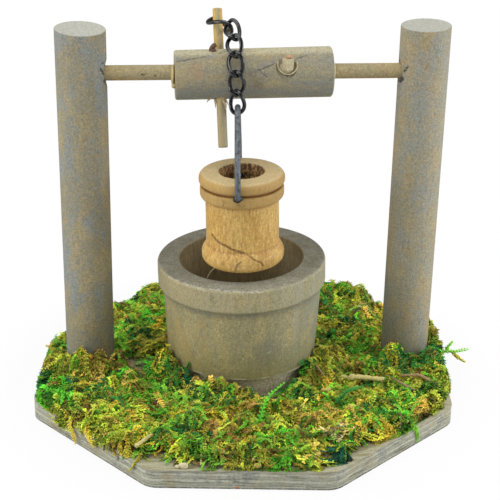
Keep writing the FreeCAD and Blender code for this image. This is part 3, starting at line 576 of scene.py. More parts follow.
def tube(path: Points, radii: Points, sides: int) -> Skin:
    """A round rod along a path, closed at both ends by a point.

    Each row is a circle of the row's radius in the plane across the path; the plane's axes
    come from the path's direction and a fixed direction, which is the x axis for a path that
    runs close to the usual one.

    Args:
        path: its centres.
        radii: its radius at each centre.
        sides: points around it.

    Returns:
        Points and faces.
    """
    run = unit(np.gradient(path, axis=0))
    helper = np.array((0.31, 0.52, 0.79))
    if abs(run.mean(0) @ helper) >= 0.8:
        helper = np.array((1.0, 0, 0))
    side = unit(np.cross(run, helper))
    over = np.cross(run, side)
    angle = np.linspace(0, 2 * math.pi, sides, endpoint=False)[None, :, None]
    ring = side[:, None] * np.cos(angle) + over[:, None] * np.sin(angle)
    points = (path[:, None] + ring * radii[:, None, None]).reshape(-1, 3)
    return np.vstack((points, path[:1], path[-1:])), capped_faces(len(path), sides, False)


def merge(parts: Sequence[Skin]) -> Skin:
    """Puts several triangle meshes into one."""
    starts = np.cumsum([0] + [len(points) for points, _ in parts[:-1]])
    return (np.vstack([points for points, _ in parts]),
            np.vstack([faces + start for (_, faces), start in zip(parts, starts)]))


def shard(start: Triple, end: Triple, radius: float, seed: int) -> Skin:
    """A splinter: a thin rod that bows a little and runs out to a point.

    Args:
        start: its thick end.
        end: its point.
        radius: its radius at the thick end, near enough.
        seed: which bow.

    Returns:
        Points and faces.
    """
    rng = np.random.default_rng(seed)
    t = np.linspace(0, 1, 6)[:, None]
    bow = rng.normal(size=3) * 0.12 * np.linalg.norm(np.subtract(end, start))
    path = np.array(start) * (1 - t) + np.array(end) * t + bow * np.sin(math.pi * t)
    return tube(path, radius * np.clip(1.15 - t[:, 0] ** 1.5 * 1.05, 0.1, 1), 6)


def rod(stops: Sequence[Triple], radius: float, rough: float, seed: int, sides: int = 8,
        stations: int = 18) -> Skin:
    """A rod of uneven thickness along a bent line.

    The line is followed in even steps; the radius is scaled by one plus random numbers times
    rough.

    Args:
        stops: the line's ends and bends.
        radius: its mean radius.
        rough: how uneven it is.
        seed: which unevenness.
        sides: points around it.
        stations: points along it.

    Returns:
        Points and faces.
    """
    rng = np.random.default_rng(seed)
    path = follow(np.array(stops, float), stations)
    return tube(path, radius * (1 + rough * rng.normal(size=stations)).clip(0.3, 1.8), sides)


def follow(stops: Points, stations: int) -> Points:
    """Even steps along a bent line, with its bends rounded by averaging neighbours twice.

    Args:
        stops: the line's ends and bends.
        stations: number of points wanted.

    Returns:
        The points, one row each.
    """
    steps = np.linalg.norm(np.diff(stops, axis=0), axis=1)
    along = np.concatenate(([0.0], np.cumsum(steps)))
    at = np.linspace(0, along[-1], stations)
    path = np.stack([np.interp(at, along, stops[:, k]) for k in range(3)], -1)
    for _ in range(2):
        path[1:-1] = (path[:-2] + 2 * path[1:-1] + path[2:]) / 4
    return path


def dress(node: str, material: Material) -> None:
    """Gives a carried-over node its finish.

    Args:
        node: the node's name.
        material: its finish.
    """
    mesh_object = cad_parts[node]
    if not mesh_object.material_slots:
        mesh_object.data.materials.append(material)
    for place in mesh_object.material_slots:
        place.material = material
    log.info("dressed %s in %s", node, material.name)


def add_piece(piece: Object, body: str, material: Material) -> None:
    """Gives a new piece its finish and its body, and reports it.

    Args:
        piece: the new piece.
        body: the moving body that carries it.
        material: its finish.
    """
    piece.data.materials.append(material)
    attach(piece, body)
    log.info("made %s, %d faces, riding %s", piece.name, len(piece.data.polygons), body)


def add_parts(name: str, body: str, slot: str, material: Material, *parts: Skin) -> None:
    """Puts rods, splinters and drops together into one new piece."""
    add_piece(raise_mesh(name, *merge(parts)), body, material)


# Moss


class Dye(Enum):
    """The colours of the dyed moss, as places in its palette."""

    BRIGHT = 0
    LEAF = 1
    LIME = 2
    OLIVE = 3
    OCHRE = 4
    BROWN = 5
    TEAL = 6
    DEEP = 7
    STRAW = 8
    MUSTARD = 9


BRIGHT, LEAF, LIME, OLIVE, OCHRE, BROWN, TEAL, DEEP, STRAW, MUSTARD = Dye


@dataclass(frozen=True)
class Plate:
    """Outline of the eight-sided plate that carries the moss, with the wood that stands on it.

    Each row of wood is a post's or the tub's centre, then its radius below and above the step.
    """

    half: float = 67.8
    thick: float = 6.2
    turn: float = math.radians(-5.1)
    cut: float = 13.5
    power: float = 26.0
    wood: tuple[tuple[float, float, float, float], ...] = (
        (-51.8, 0.0, 7.9, 7.9), (55.3, 0.0, 7.9, 7.9), (-0.9, 0.0, 23.5, 25.3),
    )
    step: float = 12.4

    def sides(self) -> tuple[Points, Points]:
        """Direction and distance of each side, in the frame's axes."""
        side = self.half * math.tan(math.radians(22.5))
        low = np.array((-self.half, side - self.cut))
        run = np.array((-side, self.half)) - low
        outward = np.array((-run[1], run[0])) / np.linalg.norm(run)
        facing = np.append(np.radians([0, 45, 90, 180, 225, 270, 315]),
                           math.atan2(outward[1], outward[0]))
        return facing + self.turn, np.append(np.full(7, self.half), low @ outward)

    def reach(self, angle: Points) -> Points:
        """Distance of the edge from the centre at each angle.

        The sum over the sides of (cos(angle - facing) / distance) to a high power, taken to
        minus one over that power, follows the nearest side and rounds the corners.

        Args:
            angle: directions from the plate's middle.

        Returns:
            The distance at each.
        """
        facing, distance = self.sides()
        share = np.maximum(np.cos(np.asarray(angle)[..., None] - facing), 0) / distance
        return (share ** self.power).sum(-1) ** (-1 / self.power)

    def clear(self, points: Points, gap: float) -> Points:
        """Moves points that lie in a post or the tub straight out to its side.

        Args:
            points: places to mend, which stay at their height.
            gap: distance kept from the wood.

        Returns:
            The mended places.
        """
        out = points.copy()
        for x, y, low, high in self.wood:
            away = out[..., :2] - (x, y)
            far = np.maximum(np.linalg.norm(away, axis=-1), 1e-6)
            radius = np.where(out[..., 2] < self.step, low, high)
            out[..., :2] = (x, y) + away * np.maximum(1.0, (radius + gap) / far)[..., None]
        return out


@dataclass(frozen=True)
class Clump:
    """A tangle of fronds that share a colour and mostly run one way."""

    x: float
    y: float
    wide: float
    high: float
    dye: Dye
    heading: float


@dataclass(frozen=True)
class Sprig:
    """One frond that stands out, along a bent line."""

    dye: Dye
    wide: float
    stops: tuple[Triple, ...]


@dataclass(frozen=True)
class Bare:
    """A place round which the plate shows."""

    x: float
    y: float
    wide: float


# The rows' order, like the order of the random draws below, fixes how the moss lies.
NAMED_CLUMPS = table(
    Clump,
    (-55.2, -9.8, 4.4, 9.4, OLIVE, 4.4), (-48.6, -9.8, 3.8, 9.0, OCHRE, 4.0),
    (-60.0, -6.0, 3.8, 6.0, LIME, 3.6), (-62.2, 2.0, 4.0, 3.0, OLIVE, 2.8),
    (-62.6, 10.0, 3.6, 2.4, LEAF, 2.6), (-59.4, 17.0, 3.6, 1.8, LIME, 2.2),
    (-43.4, -3.5, 3.4, 5.4, BROWN, 0.4), (-42.0, -12.5, 4.0, 3.6, OLIVE, 0.8),
    (-39.2, -17.0, 3.0, 5.6, BRIGHT, 1.4), (-36.0, -20.0, 3.8, 3.2, LEAF, 0.2),
    (-27.2, -9.4, 3.6, 9.6, OLIVE, 1.6), (-25.4, -13.8, 3.4, 8.2, MUSTARD, 1.4),
    (-22.0, -18.4, 3.6, 6.4, DEEP, 0.9), (-25.5, -17.0, 3.0, 3.4, DEEP, 2.0),
    (-18.2, -23.6, 3.0, 4.6, TEAL, 0.0), (-13.4, -25.2, 3.0, 6.6, OCHRE, 1.2),
    (-9.6, -26.6, 3.0, 6.6, BROWN, 1.8), (-5.6, -27.6, 3.0, 5.4, OLIVE, 1.2),
    (-1.4, -28.4, 2.6, 4.2, DEEP, 0.8), (-9.0, -32.5, 4.2, 4.2, DEEP, 1.0),
    (-3.5, -33.5, 3.6, 3.0, OLIVE, 0.5), (-65.0, -24.0, 4.8, 3.0, BRIGHT, 3.2),
    (-66.0, -10.0, 3.8, 2.4, DEEP, 3.4), (-59.8, -31.5, 4.0, 2.6, LIME, 3.9),
    (21.0, -16.5, 3.6, 7.4, DEEP, 1.9), (25.6, -11.5, 4.8, 8.4, OLIVE, 0.9),
    (27.0, -18.0, 4.4, 5.4, OLIVE, 5.4), (18.6, -21.4, 2.4, 3.4, OLIVE, 1.6),
    (23.5, -22.5, 3.0, 3.4, MUSTARD, 4.6), (30.0, -4.0, 4.6, 5.6, OLIVE, 1.2),
    (49.6, -9.8, 4.4, 8.8, DEEP, 2.2), (54.5, -12.0, 4.2, 5.6, DEEP, 5.6),
    (62.6, -10.8, 4.8, 7.6, DEEP, 0.6), (66.4, -4.0, 4.2, 6.4, LEAF, 0.9),
    (66.4, 6.0, 4.2, 6.4, OLIVE, 1.2), (66.0, 15.0, 4.2, 5.6, LIME, 1.2),
    (65.0, -19.0, 4.4, 4.8, LIME, 5.0), (58.0, -20.0, 4.6, 4.4, OLIVE, 5.6),
    (47.0, -46.6, 4.0, 3.4, BRIGHT, 5.2), (52.5, -39.0, 4.0, 2.6, OCHRE, 5.6),
    (57.5, -33.0, 4.0, 2.6, LIME, 5.8), (15.1, -42.0, 4.0, 3.4, OCHRE, 0.2),
    (23.4, -62.0, 2.5, 2.4, TEAL, 4.9), (14.0, -31.5, 3.4, 2.8, DEEP, 0.7),
    (-45.0, -43.0, 4.8, 3.4, LIME, 4.4), (-39.0, -39.0, 4.4, 3.4, LIME, 5.4),
    (-31.0, -31.0, 4.0, 3.0, BROWN, 5.6), (-24.0, -33.0, 4.2, 3.4, LEAF, 0.8),
    (-11.0, -55.0, 4.4, 3.2, BROWN, 0.6), (0.0, -62.0, 4.0, 2.8, OLIVE, 4.8),
    (42.0, 50.0, 4.8, 3.4, LIME, 1.0), (36.0, 52.0, 4.6, 2.8, BRIGHT, 1.4),
    (47.0, 45.0, 4.6, 4.2, OLIVE, 0.8), (45.0, 28.0, 4.2, 3.8, STRAW, 0.5),
    (36.0, 22.0, 5.0, 3.4, OLIVE, 1.2), (38.0, 8.0, 5.0, 3.4, OLIVE, 1.0),
    (36.0, 38.0, 5.0, 3.2, LEAF, 1.2), (-38.0, 24.0, 5.0, 2.6, LEAF, 2.2),
    (-34.0, 36.0, 4.6, 3.0, LIME, 1.8), (-26.5, 42.0, 4.0, 2.6, BRIGHT, 1.6),
    (-18.5, 45.0, 4.0, 1.6, LIME, 1.4), (-29.0, 48.5, 3.6, 1.6, LEAF, 1.4),
    (-42.0, 14.0, 4.6, 2.6, LEAF, 2.6), (24.0, -52.0, 4.0, 3.2, STRAW, 0.2),
    (36.0, -48.0, 4.4, 3.2, MUSTARD, 5.4), (6.5, -54.0, 4.0, 3.4, BRIGHT, 1.2),
    (30.0, -34.0, 3.6, 3.2, LEAF, 0.6), (37.0, -30.0, 3.6, 3.4, MUSTARD, 0.2),
    (43.0, -36.0, 4.0, 3.4, LIME, 5.8), (31.0, -42.0, 4.0, 3.8, OCHRE, 0.4),
)

SPRIGS = table(
    Sprig,
    (MUSTARD, 1.3, ((-56.4, -34.8, 8.6), (-58.0, -37.6, 7.0), (-56.8, -39.2, 4.4),
                    (-55.9, -40.4, 1.0))),
    (MUSTARD, 1.2, ((-51.8, -39.5, 8.8), (-52.9, -43.2, 7.8), (-51.6, -45.3, 6.0),
                    (-49.9, -47.4, 4.0))),
    (OLIVE, 0.9, ((-35.6, -57.5, 7.6), (-37.6, -61.0, 6.6), (-38.6, -60.6, 4.6),
                  (-39.6, -59.7, 3.0))),
    (BRIGHT, 1.4, ((-38.4, -14.6, 10.0), (-39.0, -16.0, 12.6), (-39.6, -17.2, 15.4))),
    (OCHRE, 1.2, ((-51.0, -8.8, 11.5), (-50.6, -9.2, 14.2), (-51.4, -9.6, 15.8))),
    (OCHRE, 1.3, ((-53.0, -11.0, 14.0), (-56.0, -13.0, 12.5), (-58.4, -16.0, 9.6))),
    (OLIVE, 0.8, ((-62.0, 3.0, 9.6), (-64.8, 3.8, 11.2), (-67.0, 4.2, 12.0))),
    (BRIGHT, 1.3, ((1.0, -47.0, 9.6), (1.8, -42.6, 12.2), (4.8, -37.0, 14.2), (10.6, -30.4, 14.8))),
    (LEAF, 1.5, ((63.0, -8.0, 12.0), (68.0, -7.6, 12.6), (72.0, -6.4, 11.6), (76.4, -5.0, 11.8))),
    (OLIVE, 1.0, ((70.5, -6.6, 12.0), (72.6, -8.6, 10.4), (75.0, -9.8, 9.4))),
    (LEAF, 1.0, ((68.0, -7.4, 12.4), (70.2, -4.6, 13.4), (71.6, -3.6, 14.2))),
    (OLIVE, 1.1, ((43.0, 30.8, 9.0), (43.8, 33.6, 12.0), (44.8, 35.6, 16.4))),
    (OCHRE, 1.2, ((-30.2, -24.0, 9.4), (-30.6, -29.5, 11.6), (-28.4, -34.4, 9.6))),
    (LIME, 1.2, ((-12.6, -27.2, 11.0), (-15.4, -26.0, 12.6), (-18.4, -24.6, 13.2))),
    (MUSTARD, 1.3, ((-10.0, -27.4, 11.0), (-10.2, -27.0, 13.4), (-9.8, -26.4, 15.0))),
    (LIME, 1.0, ((24.0, -49.0, 9.0), (29.0, -54.0, 10.6), (36.0, -57.0, 9.6))),
    (DEEP, 1.2, ((26.0, -36.0, 10.0), (31.0, -31.5, 12.2), (36.0, -28.5, 11.4))),
    (DEEP, 1.3, ((-21.4, -17.8, 10.0), (-20.0, -17.4, 14.0), (-19.0, -17.2, 16.2))),
    (DEEP, 1.2, ((22.0, -15.0, 13.0), (19.6, -16.6, 15.2), (16.6, -19.6, 15.4))),
    (LEAF, 1.2, ((48.0, -45.4, 8.6), (50.2, -47.0, 6.8), (51.4, -46.2, 3.8), (52.0, -45.8, 1.2))),
)

BARE_SPOTS = table(
    Bare, (8.0, -26.5, 4.4), (-36.5, 0.0, 3.2), (-33.5, -7.0, 2.8), (-40.0, -60.0, 2.6),
    (36.0, -19.5, 3.0), (31.0, -22.5, 2.2), (42.0, -57.0, 2.4), (-33.0, -63.0, 4.6),
)


@dataclass
class MossBed:
    """Mat, fronds and litter of the dyed moss over the whole plate, in eight tufts.

    Attributes:
        span: half the width of the square that scatter() fills.
        row_ratio: distance between the rows of loose clumps, over their spacing.
        shake: how far they stray from their grid.
        strip: least distance of their middles from the moss's edge.
        crowd: fronds of a clump, over the square of its width.
        cell: step of the grid that heap() fills, which runs half_grid steps to each side.
        dome_reach: a clump's dome over its width.
        mat_inner: distance of a mat's first row from the middle.
        mat_gap: distance of a mat from the posts and the tub, as spine_gap and leaf_gap.
        deep_light: how light a leaf deep in the moss is, as top_light at its top.
        mixing: the dyes as scatter() lines them up, so that neighbours there lie close together.
        bells: an angle and a width in degrees and a length each, for inset().
    """

    plate: Plate = Plate()
    clumps: Points = field(init=False)
    domes: Points = field(init=False)
    tufts: int = 8
    span: int = 70
    spacing: float = 4.9
    row_ratio: float = 0.866
    shake: float = 1.1
    strip: float = 2.0
    crowd: float = 2.3
    stations: int = 7
    leaves: int = 13
    cell: float = 0.6
    half_grid: int = 130
    dome_reach: float = 1.22
    mat_rows: int = 64
    mat_columns: int = 76
    mat_inner: float = 23.9
    mat_bump: float = 0.28
    mat_gap: float = 0.12
    spine_gap: float = 0.35
    leaf_gap: float = 0.08
    stem: float = 0.26
    deep_light: float = 0.26
    top_light: float = 1.35
    sprig_stations: int = 10
    sprig_spread: float = 0.35
    sprig_gain: float = 1.25
    palette: tuple[Triple, ...] = table(
        tint, (88, 176, 40), (108, 162, 42), (176, 188, 56), (150, 145, 46), (200, 172, 74),
        (146, 116, 56), (16, 100, 70), (40, 112, 44), (196, 186, 120), (190, 172, 50),
    )
    weights: tuple[float, ...] = (0.14, 0.21, 0.15, 0.20, 0.06, 0.07, 0.003, 0.11, 0.005, 0.05)
    mixing: tuple[Dye, ...] = (DEEP, BRIGHT, LEAF, LIME, MUSTARD, OLIVE, STRAW, OCHRE, BROWN, TEAL)
    bells: tuple[Triple, ...] = (
        (243, 5, 2.6), (268, 16, 0.5), (288, 5, 2.0), (303, 8, 2.0), (322, 8, 2.6),
        (333, 5, 1.2), (222, 13, -0.9), (130, 18, 0.7), (90, 16, 1.2), (170, 16, 0.5),
    )

    def inset(self, angle: Points) -> Points:
        """How far the moss stays back from the plate's edge at each angle.

        A base plus a bell for each stretch where the plate shows or the moss hangs over.

        Args:
            angle: directions from the plate's middle.

        Returns:
            The gap at each.
        """
        degrees = np.degrees(angle) % 360
        out = np.full(np.shape(angle), 1.0)
        for middle, wide, more in self.bells:
            out = out + more * np.exp(-((degrees - middle) / wide) ** 2)
        return out

    def scatter(self) -> Points:
        """The named clumps, and others on a shaken hexagonal grid wherever there is room.

        Returns:
            One row for each clump: its place, width, height, dye and heading.
        """
        rng = np.random.default_rng(31)
        line = self.spacing * self.row_ratio
        steps = (np.arange(-self.span, self.span + 1, step) for step in (self.spacing, line))
        x, y = (part.ravel() for part in np.meshgrid(*steps))
        x = x + np.where(np.round(y / line) % 2, self.spacing / 2, 0)
        x, y = (part + rng.normal(0, self.shake, x.shape) for part in (x, y))
        angle = np.arctan2(y, x)
        keep = np.hypot(x, y) < self.plate.reach(angle) - self.inset(angle) - self.strip
        taken = [(at_x, at_y, radius + 1.2) for at_x, at_y, _, radius in self.plate.wood]
        taken += [(spot.x, spot.y, spot.wide + 1.6) for spot in BARE_SPOTS]
        taken += [(clump.x, clump.y, clump.wide * 0.85) for clump in NAMED_CLUMPS]
        for at_x, at_y, room in taken:
            keep &= np.hypot(x - at_x, y - at_y) > room
        x, y = x[keep], y[keep]
        slow = np.sin(x * 0.11 + 0.8 * np.sin(y * 0.09)) + np.sin(y * 0.13 + 1.1)
        order = np.array([dye.value for dye in self.mixing])
        share = np.array(self.weights)[order]
        edges = np.cumsum(share / share.sum())
        draw = (rng.uniform(0, 1, len(x)) * 0.9 + 0.05 + 0.05 * slow) % 1.0
        dyes = order[np.minimum(np.searchsorted(edges, draw), len(order) - 1)]
        wide = rng.uniform(2.4, 3.9, len(x))
        high = rng.uniform(0.6, 4.4, len(x)) * np.where(y > 15, 0.65, 1.0)
        heading = rng.uniform(0, 2 * math.pi, len(x))
        named = [(c.x, c.y, c.wide, c.high, c.dye.value, c.heading) for c in NAMED_CLUMPS]
        return np.vstack((named, np.column_stack((x, y, wide, high, dyes, heading))))

    def height(self, x: Points, y: Points) -> Points:
        """Thickness of the moss over the plate.

        A thin layer with slow waves made of sines, under the tallest dome at the point: each
        clump's height times one less the square of the distance over dome_reach times its width.

        Args:
            x: places across.
            y: places in depth.

        Returns:
            The thickness at each.
        """
        wave = np.sin(x * 0.31 + 1.3) * np.sin(y * 0.27 - 0.4) + 0.6 * np.sin(x * 0.62 - y * 0.5)
        place = np.stack((x, y), -1) / self.cell + self.half_grid
        low = np.clip(place.astype(int), 0, len(self.domes) - 2)
        u, v = np.moveaxis(np.clip(place - low, 0, 1), -1, 0)
        i, j = low[..., 0], low[..., 1]
        dome = ((self.domes[i, j] * (1 - v) + self.domes[i, j + 1] * v) * (1 - u)
                + (self.domes[i + 1, j] * (1 - v) + self.domes[i + 1, j + 1] * v) * u)
        return 0.7 + 0.15 * wave + dome

    def heap(self) -> None:
        """Works out the domes once, on a square grid that height() reads between its points."""
        axis = (np.arange(2 * self.half_grid + 1) - self.half_grid) * self.cell
        x, y = (part[..., None] for part in np.meshgrid(axis, axis, indexing="ij"))
        at_x, at_y, wide, high = self.clumps.T[:4]
        gap = (x - at_x) ** 2 + (y - at_y) ** 2
        self.domes = (high * np.maximum(1 - gap / (self.dome_reach * wide) ** 2, 0)).max(-1)

    def mat(self, number: int) -> Skin:
        """The matted underside of one tuft: a closed skin on a polar grid.

        Rows run from the tub's side out to the plate's edge and columns along the angle. The top
        is the moss's height less the depth of the loose fronds, with fine bumps, and falls to the
        plate at its border; the bottom lies on the plate.

        Args:
            number: which tuft.

        Returns:
            Points and faces.
        """
        rows, columns = self.mat_rows, self.mat_columns
        share = np.linspace(0, 1, rows)[:, None]
        angle = number + np.linspace(0, 1, columns)[None, :]
        angle = angle * (2 * math.pi / self.tufts) + self.plate.turn
        rng = np.random.default_rng(40 + number)
        edge = self.plate.reach(angle) - self.inset(angle).clip(0.4) - 0.9
        edge = edge + 0.8 * np.sin(angle * 29) + 0.6 * np.sin(angle * 53 + 1)
        away = self.mat_inner + (edge - self.mat_inner) * share
        x, y = away * np.cos(angle), away * np.sin(angle)
        bumps = rng.normal(size=(rows, columns)) * self.mat_bump
        top = np.clip((self.height(x, y) - 0.75) * 0.72 - 0.1 + bumps, 0.15, None)
        for spot in BARE_SPOTS:
            gap = (x - spot.x) ** 2 + (y - spot.y) ** 2
            top = top * (1 - 0.9 * np.exp(-gap / spot.wide ** 2))
        top = top * np.clip((1 - share) * 14, 0.12, 1) ** 0.5
        base = self.plate.thick + 0.03
        layers = [self.plate.clear(np.stack((x, y, z), -1), self.mat_gap).reshape(-1, 3)
                  for z in (base + top, np.full_like(x, base))]
        count = rows * columns
        grid = np.arange(count).reshape(rows, columns)
        loop = np.concatenate((grid[0, :-1], grid[:-1, -1], grid[-1, :0:-1], grid[:0:-1, 0]))
        after = np.roll(loop, -1)
        skirt = np.stack((loop, after, after + count, loop + count), -1)
        quads = grid_faces(rows, columns, False)
        return np.vstack(layers), np.vstack((quads[:, ::-1], quads + count, skirt))

    def seeds(self, number: int) -> dict[str, Points]:
        """Where the fronds of one tuft start, how they run and what colour they are.

        A clump belongs to the tuft whose span holds its centre, and has fronds by its area.
        Their starts spread evenly over it; most run its way and the rest straight outwards.

        Args:
            number: which tuft.

        Returns:
            One number for each frond, or three for its painted light and shade with a slight tint,
            under each name.
        """
        rng = np.random.default_rng(700 + number)
        turned = np.arctan2(self.clumps[:, 1], self.clumps[:, 0]) - self.plate.turn
        tuft = (turned % (2 * math.pi) // (2 * math.pi / self.tufts)).astype(int) % self.tufts
        mine = self.clumps[tuft == number]
        count = (self.crowd * mine[:, 2] ** 2 * (1 + 0.05 * mine[:, 3])).astype(int) + 6
        x, y, wide, high, dye, heading = np.repeat(mine, count, axis=0).T
        n = len(x)
        hand = np.repeat(rng.choice((-1.0, 1.0), len(mine)), count)
        out = rng.uniform(0, 2 * math.pi, n)
        far = wide * np.sqrt(rng.uniform(0, 1, n)) * 0.95
        loose = rng.uniform(0, 1, n) < 0.45
        strange = rng.uniform(0, 1, n) < 0.26
        other = rng.choice(len(self.palette), n, p=np.array(self.weights) / sum(self.weights))
        return {
            "x": x + far * np.cos(out), "y": y + far * np.sin(out),
            "heading": np.where(loose, out, heading) + rng.normal(0, 0.55, n),
            "long": rng.uniform(3.2, 8.6, n) * (0.6 + 0.12 * wide),
            "curl": hand * np.abs(rng.normal(1.3, 0.9, n)),
            "lift": np.abs(rng.normal(0.0, 0.75, n)) + 0.12 * high * rng.uniform(0, 1, n),
            "dive": rng.uniform(0.2, 1.2, n),
            "wide": rng.uniform(0.7, 1.45, n),
            "roll": rng.normal(0, 0.6, n),
            "pick": rng.uniform(0, 1, n),
            # Painted light and shade: each frond lit or shaded by chance, as its slant would be; the
            # three parts tint it a little.
            "shade": rng.choice((0.34, 0.72, 1.04, 1.36), (n, 1), p=(0.19, 0.25, 0.34, 0.22))
            * rng.uniform(0.88, 1.14, (n, 3)),
            "level": rng.uniform(-1.0, 0.35, n),
            "dye": np.where(strange, other, dye).astype(int),
        }

    def spines(self, s: dict[str, Points]) -> Points:
        """Centre lines of the fronds.

        The heading turns along a frond by its curl, faster towards the tip, and its place is the
        running sum of unit steps along the heading. Its height is the moss's height there, plus a
        bow that rises in the middle and a tip that stands up. Beyond the plate's edge a frond is
        drawn back and falls.

        Args:
            s: what seeds() returned.

        Returns:
            Centres, fronds by stations by three.
        """
        t = np.linspace(0, 1, self.stations)[None, :]
        x, y, heading, long, curl, lift, dive, pick, level = (
            s[key][:, None]
            for key in ("x", "y", "heading", "long", "curl", "lift", "dive", "pick", "level"))
        heading = heading + curl * t ** 1.4
        heading = heading + 0.4 * np.sin(6 * t + 9 * pick)
        step = long / (self.stations - 1)
        x, y = (start + np.cumsum(way * step, 1) - 0.35 * long * way
                for start, way in ((x, np.cos(heading)), (y, np.sin(heading))))
        bow = lift * (np.sin(math.pi * t) + 0.8 * t ** 3)
        sink = dive * (1 - t) ** 3
        z = self.plate.thick + self.height(x, y) + level + bow - sink - 0.1
        angle, away = np.arctan2(y, x), np.hypot(x, y)
        inset = self.inset(angle)
        over = np.maximum(away - self.plate.reach(angle) + inset * 0.8 - 0.2, 0)
        keep = 1 - 0.8 * over / np.maximum(away, 1)
        z = z - np.minimum(over * 0.9, 2.6)
        floor = self.plate.thick + 0.25 - np.minimum(over * 1.5, 3.0) * (inset < 0.8)
        centres = np.stack((x * keep, y * keep, np.maximum(z, floor)), -1)
        return self.plate.clear(centres, self.spine_gap)

    def frond_mesh(self, centres: Points, wide: Points, roll: Points,
                   seed: int) -> tuple[Points, Points, Points, Points, Points]:
        """Fronds along given lines: a three-sided stem each, and leaves in pairs.

        A leaf is a kite from the stem: root, the two points at its widest, and tip, at an angle
        of about 50 degrees forward of square, its length falling towards the frond's tip as
        (1 - t) to the power 0.6.

        Args:
            centres: fronds by stations by three.
            wide: length of each frond's longest leaves.
            roll: lean of each frond's leaves.
            seed: which unevenness.

        Returns:
            Points, faces, and for each point its frond's number, its share along the frond and
            its painted light and shade, which rise from a leaf's root to its tip.
        """
        n, m = centres.shape[:2]
        run = unit(np.gradient(centres, axis=1))
        up = np.stack((np.sin(roll), np.full_like(roll, 0.02), np.cos(roll)), -1)[:, None, :]
        side = unit(np.cross(run, np.broadcast_to(up, run.shape)))
        over = np.cross(side, run)
        t = np.linspace(0, 1, m)
        thick = (self.stem * (1 - 0.7 * t))[None, :, None, None]
        corner = (np.arange(3) * 2 * math.pi / 3)[None, None, :, None]
        ring = side[:, :, None] * np.cos(corner) + over[:, :, None] * np.sin(corner)
        stem = (centres[:, :, None] + ring * thick).reshape(-1, 3)
        stem_faces = grid_faces(m, 3, True)[None] + (np.arange(n) * m * 3)[:, None, None]
        share = (np.arange(self.leaves) + 0.6) / self.leaves
        at = share * (m - 1)
        low = np.minimum(at.astype(int), m - 2)
        part = (at - low)[None, :, None]
        root = centres[:, low] * (1 - part) + centres[:, low + 1] * part
        run, side, over = run[:, low], side[:, low], over[:, low]
        size = (wide[:, None] * (1 - share[None, :]) ** 0.6 + 0.25)[..., None]
        rng = np.random.default_rng(seed)
        leaves = []
        for hand in (-1.0, 1.0):
            sway = rng.uniform(0.7, 1.3, size.shape)
            droop = rng.uniform(-0.3, 0.6, size.shape)
            way = unit(run * 0.72 + side * hand * 0.85 + over * droop)
            flank = unit(np.cross(way, over)) * 0.25
            middle = root + way * size * sway * 0.45 + over * 0.12
            tip = root + way * size * sway
            leaves.append(np.stack((root, middle - flank, tip, middle + flank), 2))
        kites = np.stack(leaves, 2).reshape(-1, 3)
        kite_faces = len(stem) + np.arange(len(kites)).reshape(-1, 4)
        points = self.plate.clear(np.vstack((stem, kites)), self.leaf_gap)
        each = np.arange(n)
        owner = np.concatenate((np.repeat(each, m * 3), np.repeat(each, self.leaves * 8)))
        shares = np.concatenate((np.tile(np.repeat(t, 3), n), np.tile(np.repeat(share, 8), n)))
        # Painted light and shade: stems darker, each leaf lighter from its root to its tip.
        glow = np.concatenate((np.full(n * m * 3, 0.8),
                               np.tile((0.55, 0.95, 1.45, 0.95), n * self.leaves * 2)))
        return points, np.vstack((stem_faces.reshape(-1, 4), kite_faces)), owner, shares, glow

    def build(self, leaf: Material, earth: Material) -> None:
        """Makes the mats and fronds of every tuft and hands them to the stand.

        Args:
            leaf: finish of the fronds.
            earth: finish of the mats.
        """
        self.clumps = self.scatter()
        self.heap()
        for number in range(self.tufts):
            mat = raise_mesh(f"moss_mat_{number + 1}", *self.mat(number))
            add_piece(mat, "stand", earth)
            s = self.seeds(number)
            made = self.frond_mesh(self.spines(s), s["wide"], s["roll"], 17 + number)
            # Each frond's dye, times its painted light and shade.
            colours = np.array(self.palette)[s["dye"]] * s["shade"]
            fronds = self.fronds(f"moss_fronds_{number + 1}", made, colours, leaf)
            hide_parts(f"moss_tuft_{number + 1}")
        self.build_sprigs(leaf)
        self.build_litter()

    def build_sprigs(self, leaf: Material) -> None:
        """Makes the fronds that stand out, each as three that spread towards their tips."""
        centres = np.stack([follow(np.array(sprig.stops), self.sprig_stations) for sprig in SPRIGS])
        looks = np.array([(sprig.wide, *self.palette[sprig.dye.value]) for sprig in SPRIGS])
        centres, looks = np.repeat(centres, 3, axis=0), np.repeat(looks, 3, axis=0)
        rng = np.random.default_rng(5)
        spread = np.linspace(0.3, 1, self.sprig_stations)[None, :, None]
        centres = centres + rng.normal(0, self.sprig_spread, (len(centres), 1, 3)) * spread
        made = self.frond_mesh(centres, looks[:, 0], rng.normal(0, 0.8, len(centres)), 3)
        self.fronds("moss_sprigs", made, looks[:, 1:] * self.sprig_gain, leaf, 1.0)

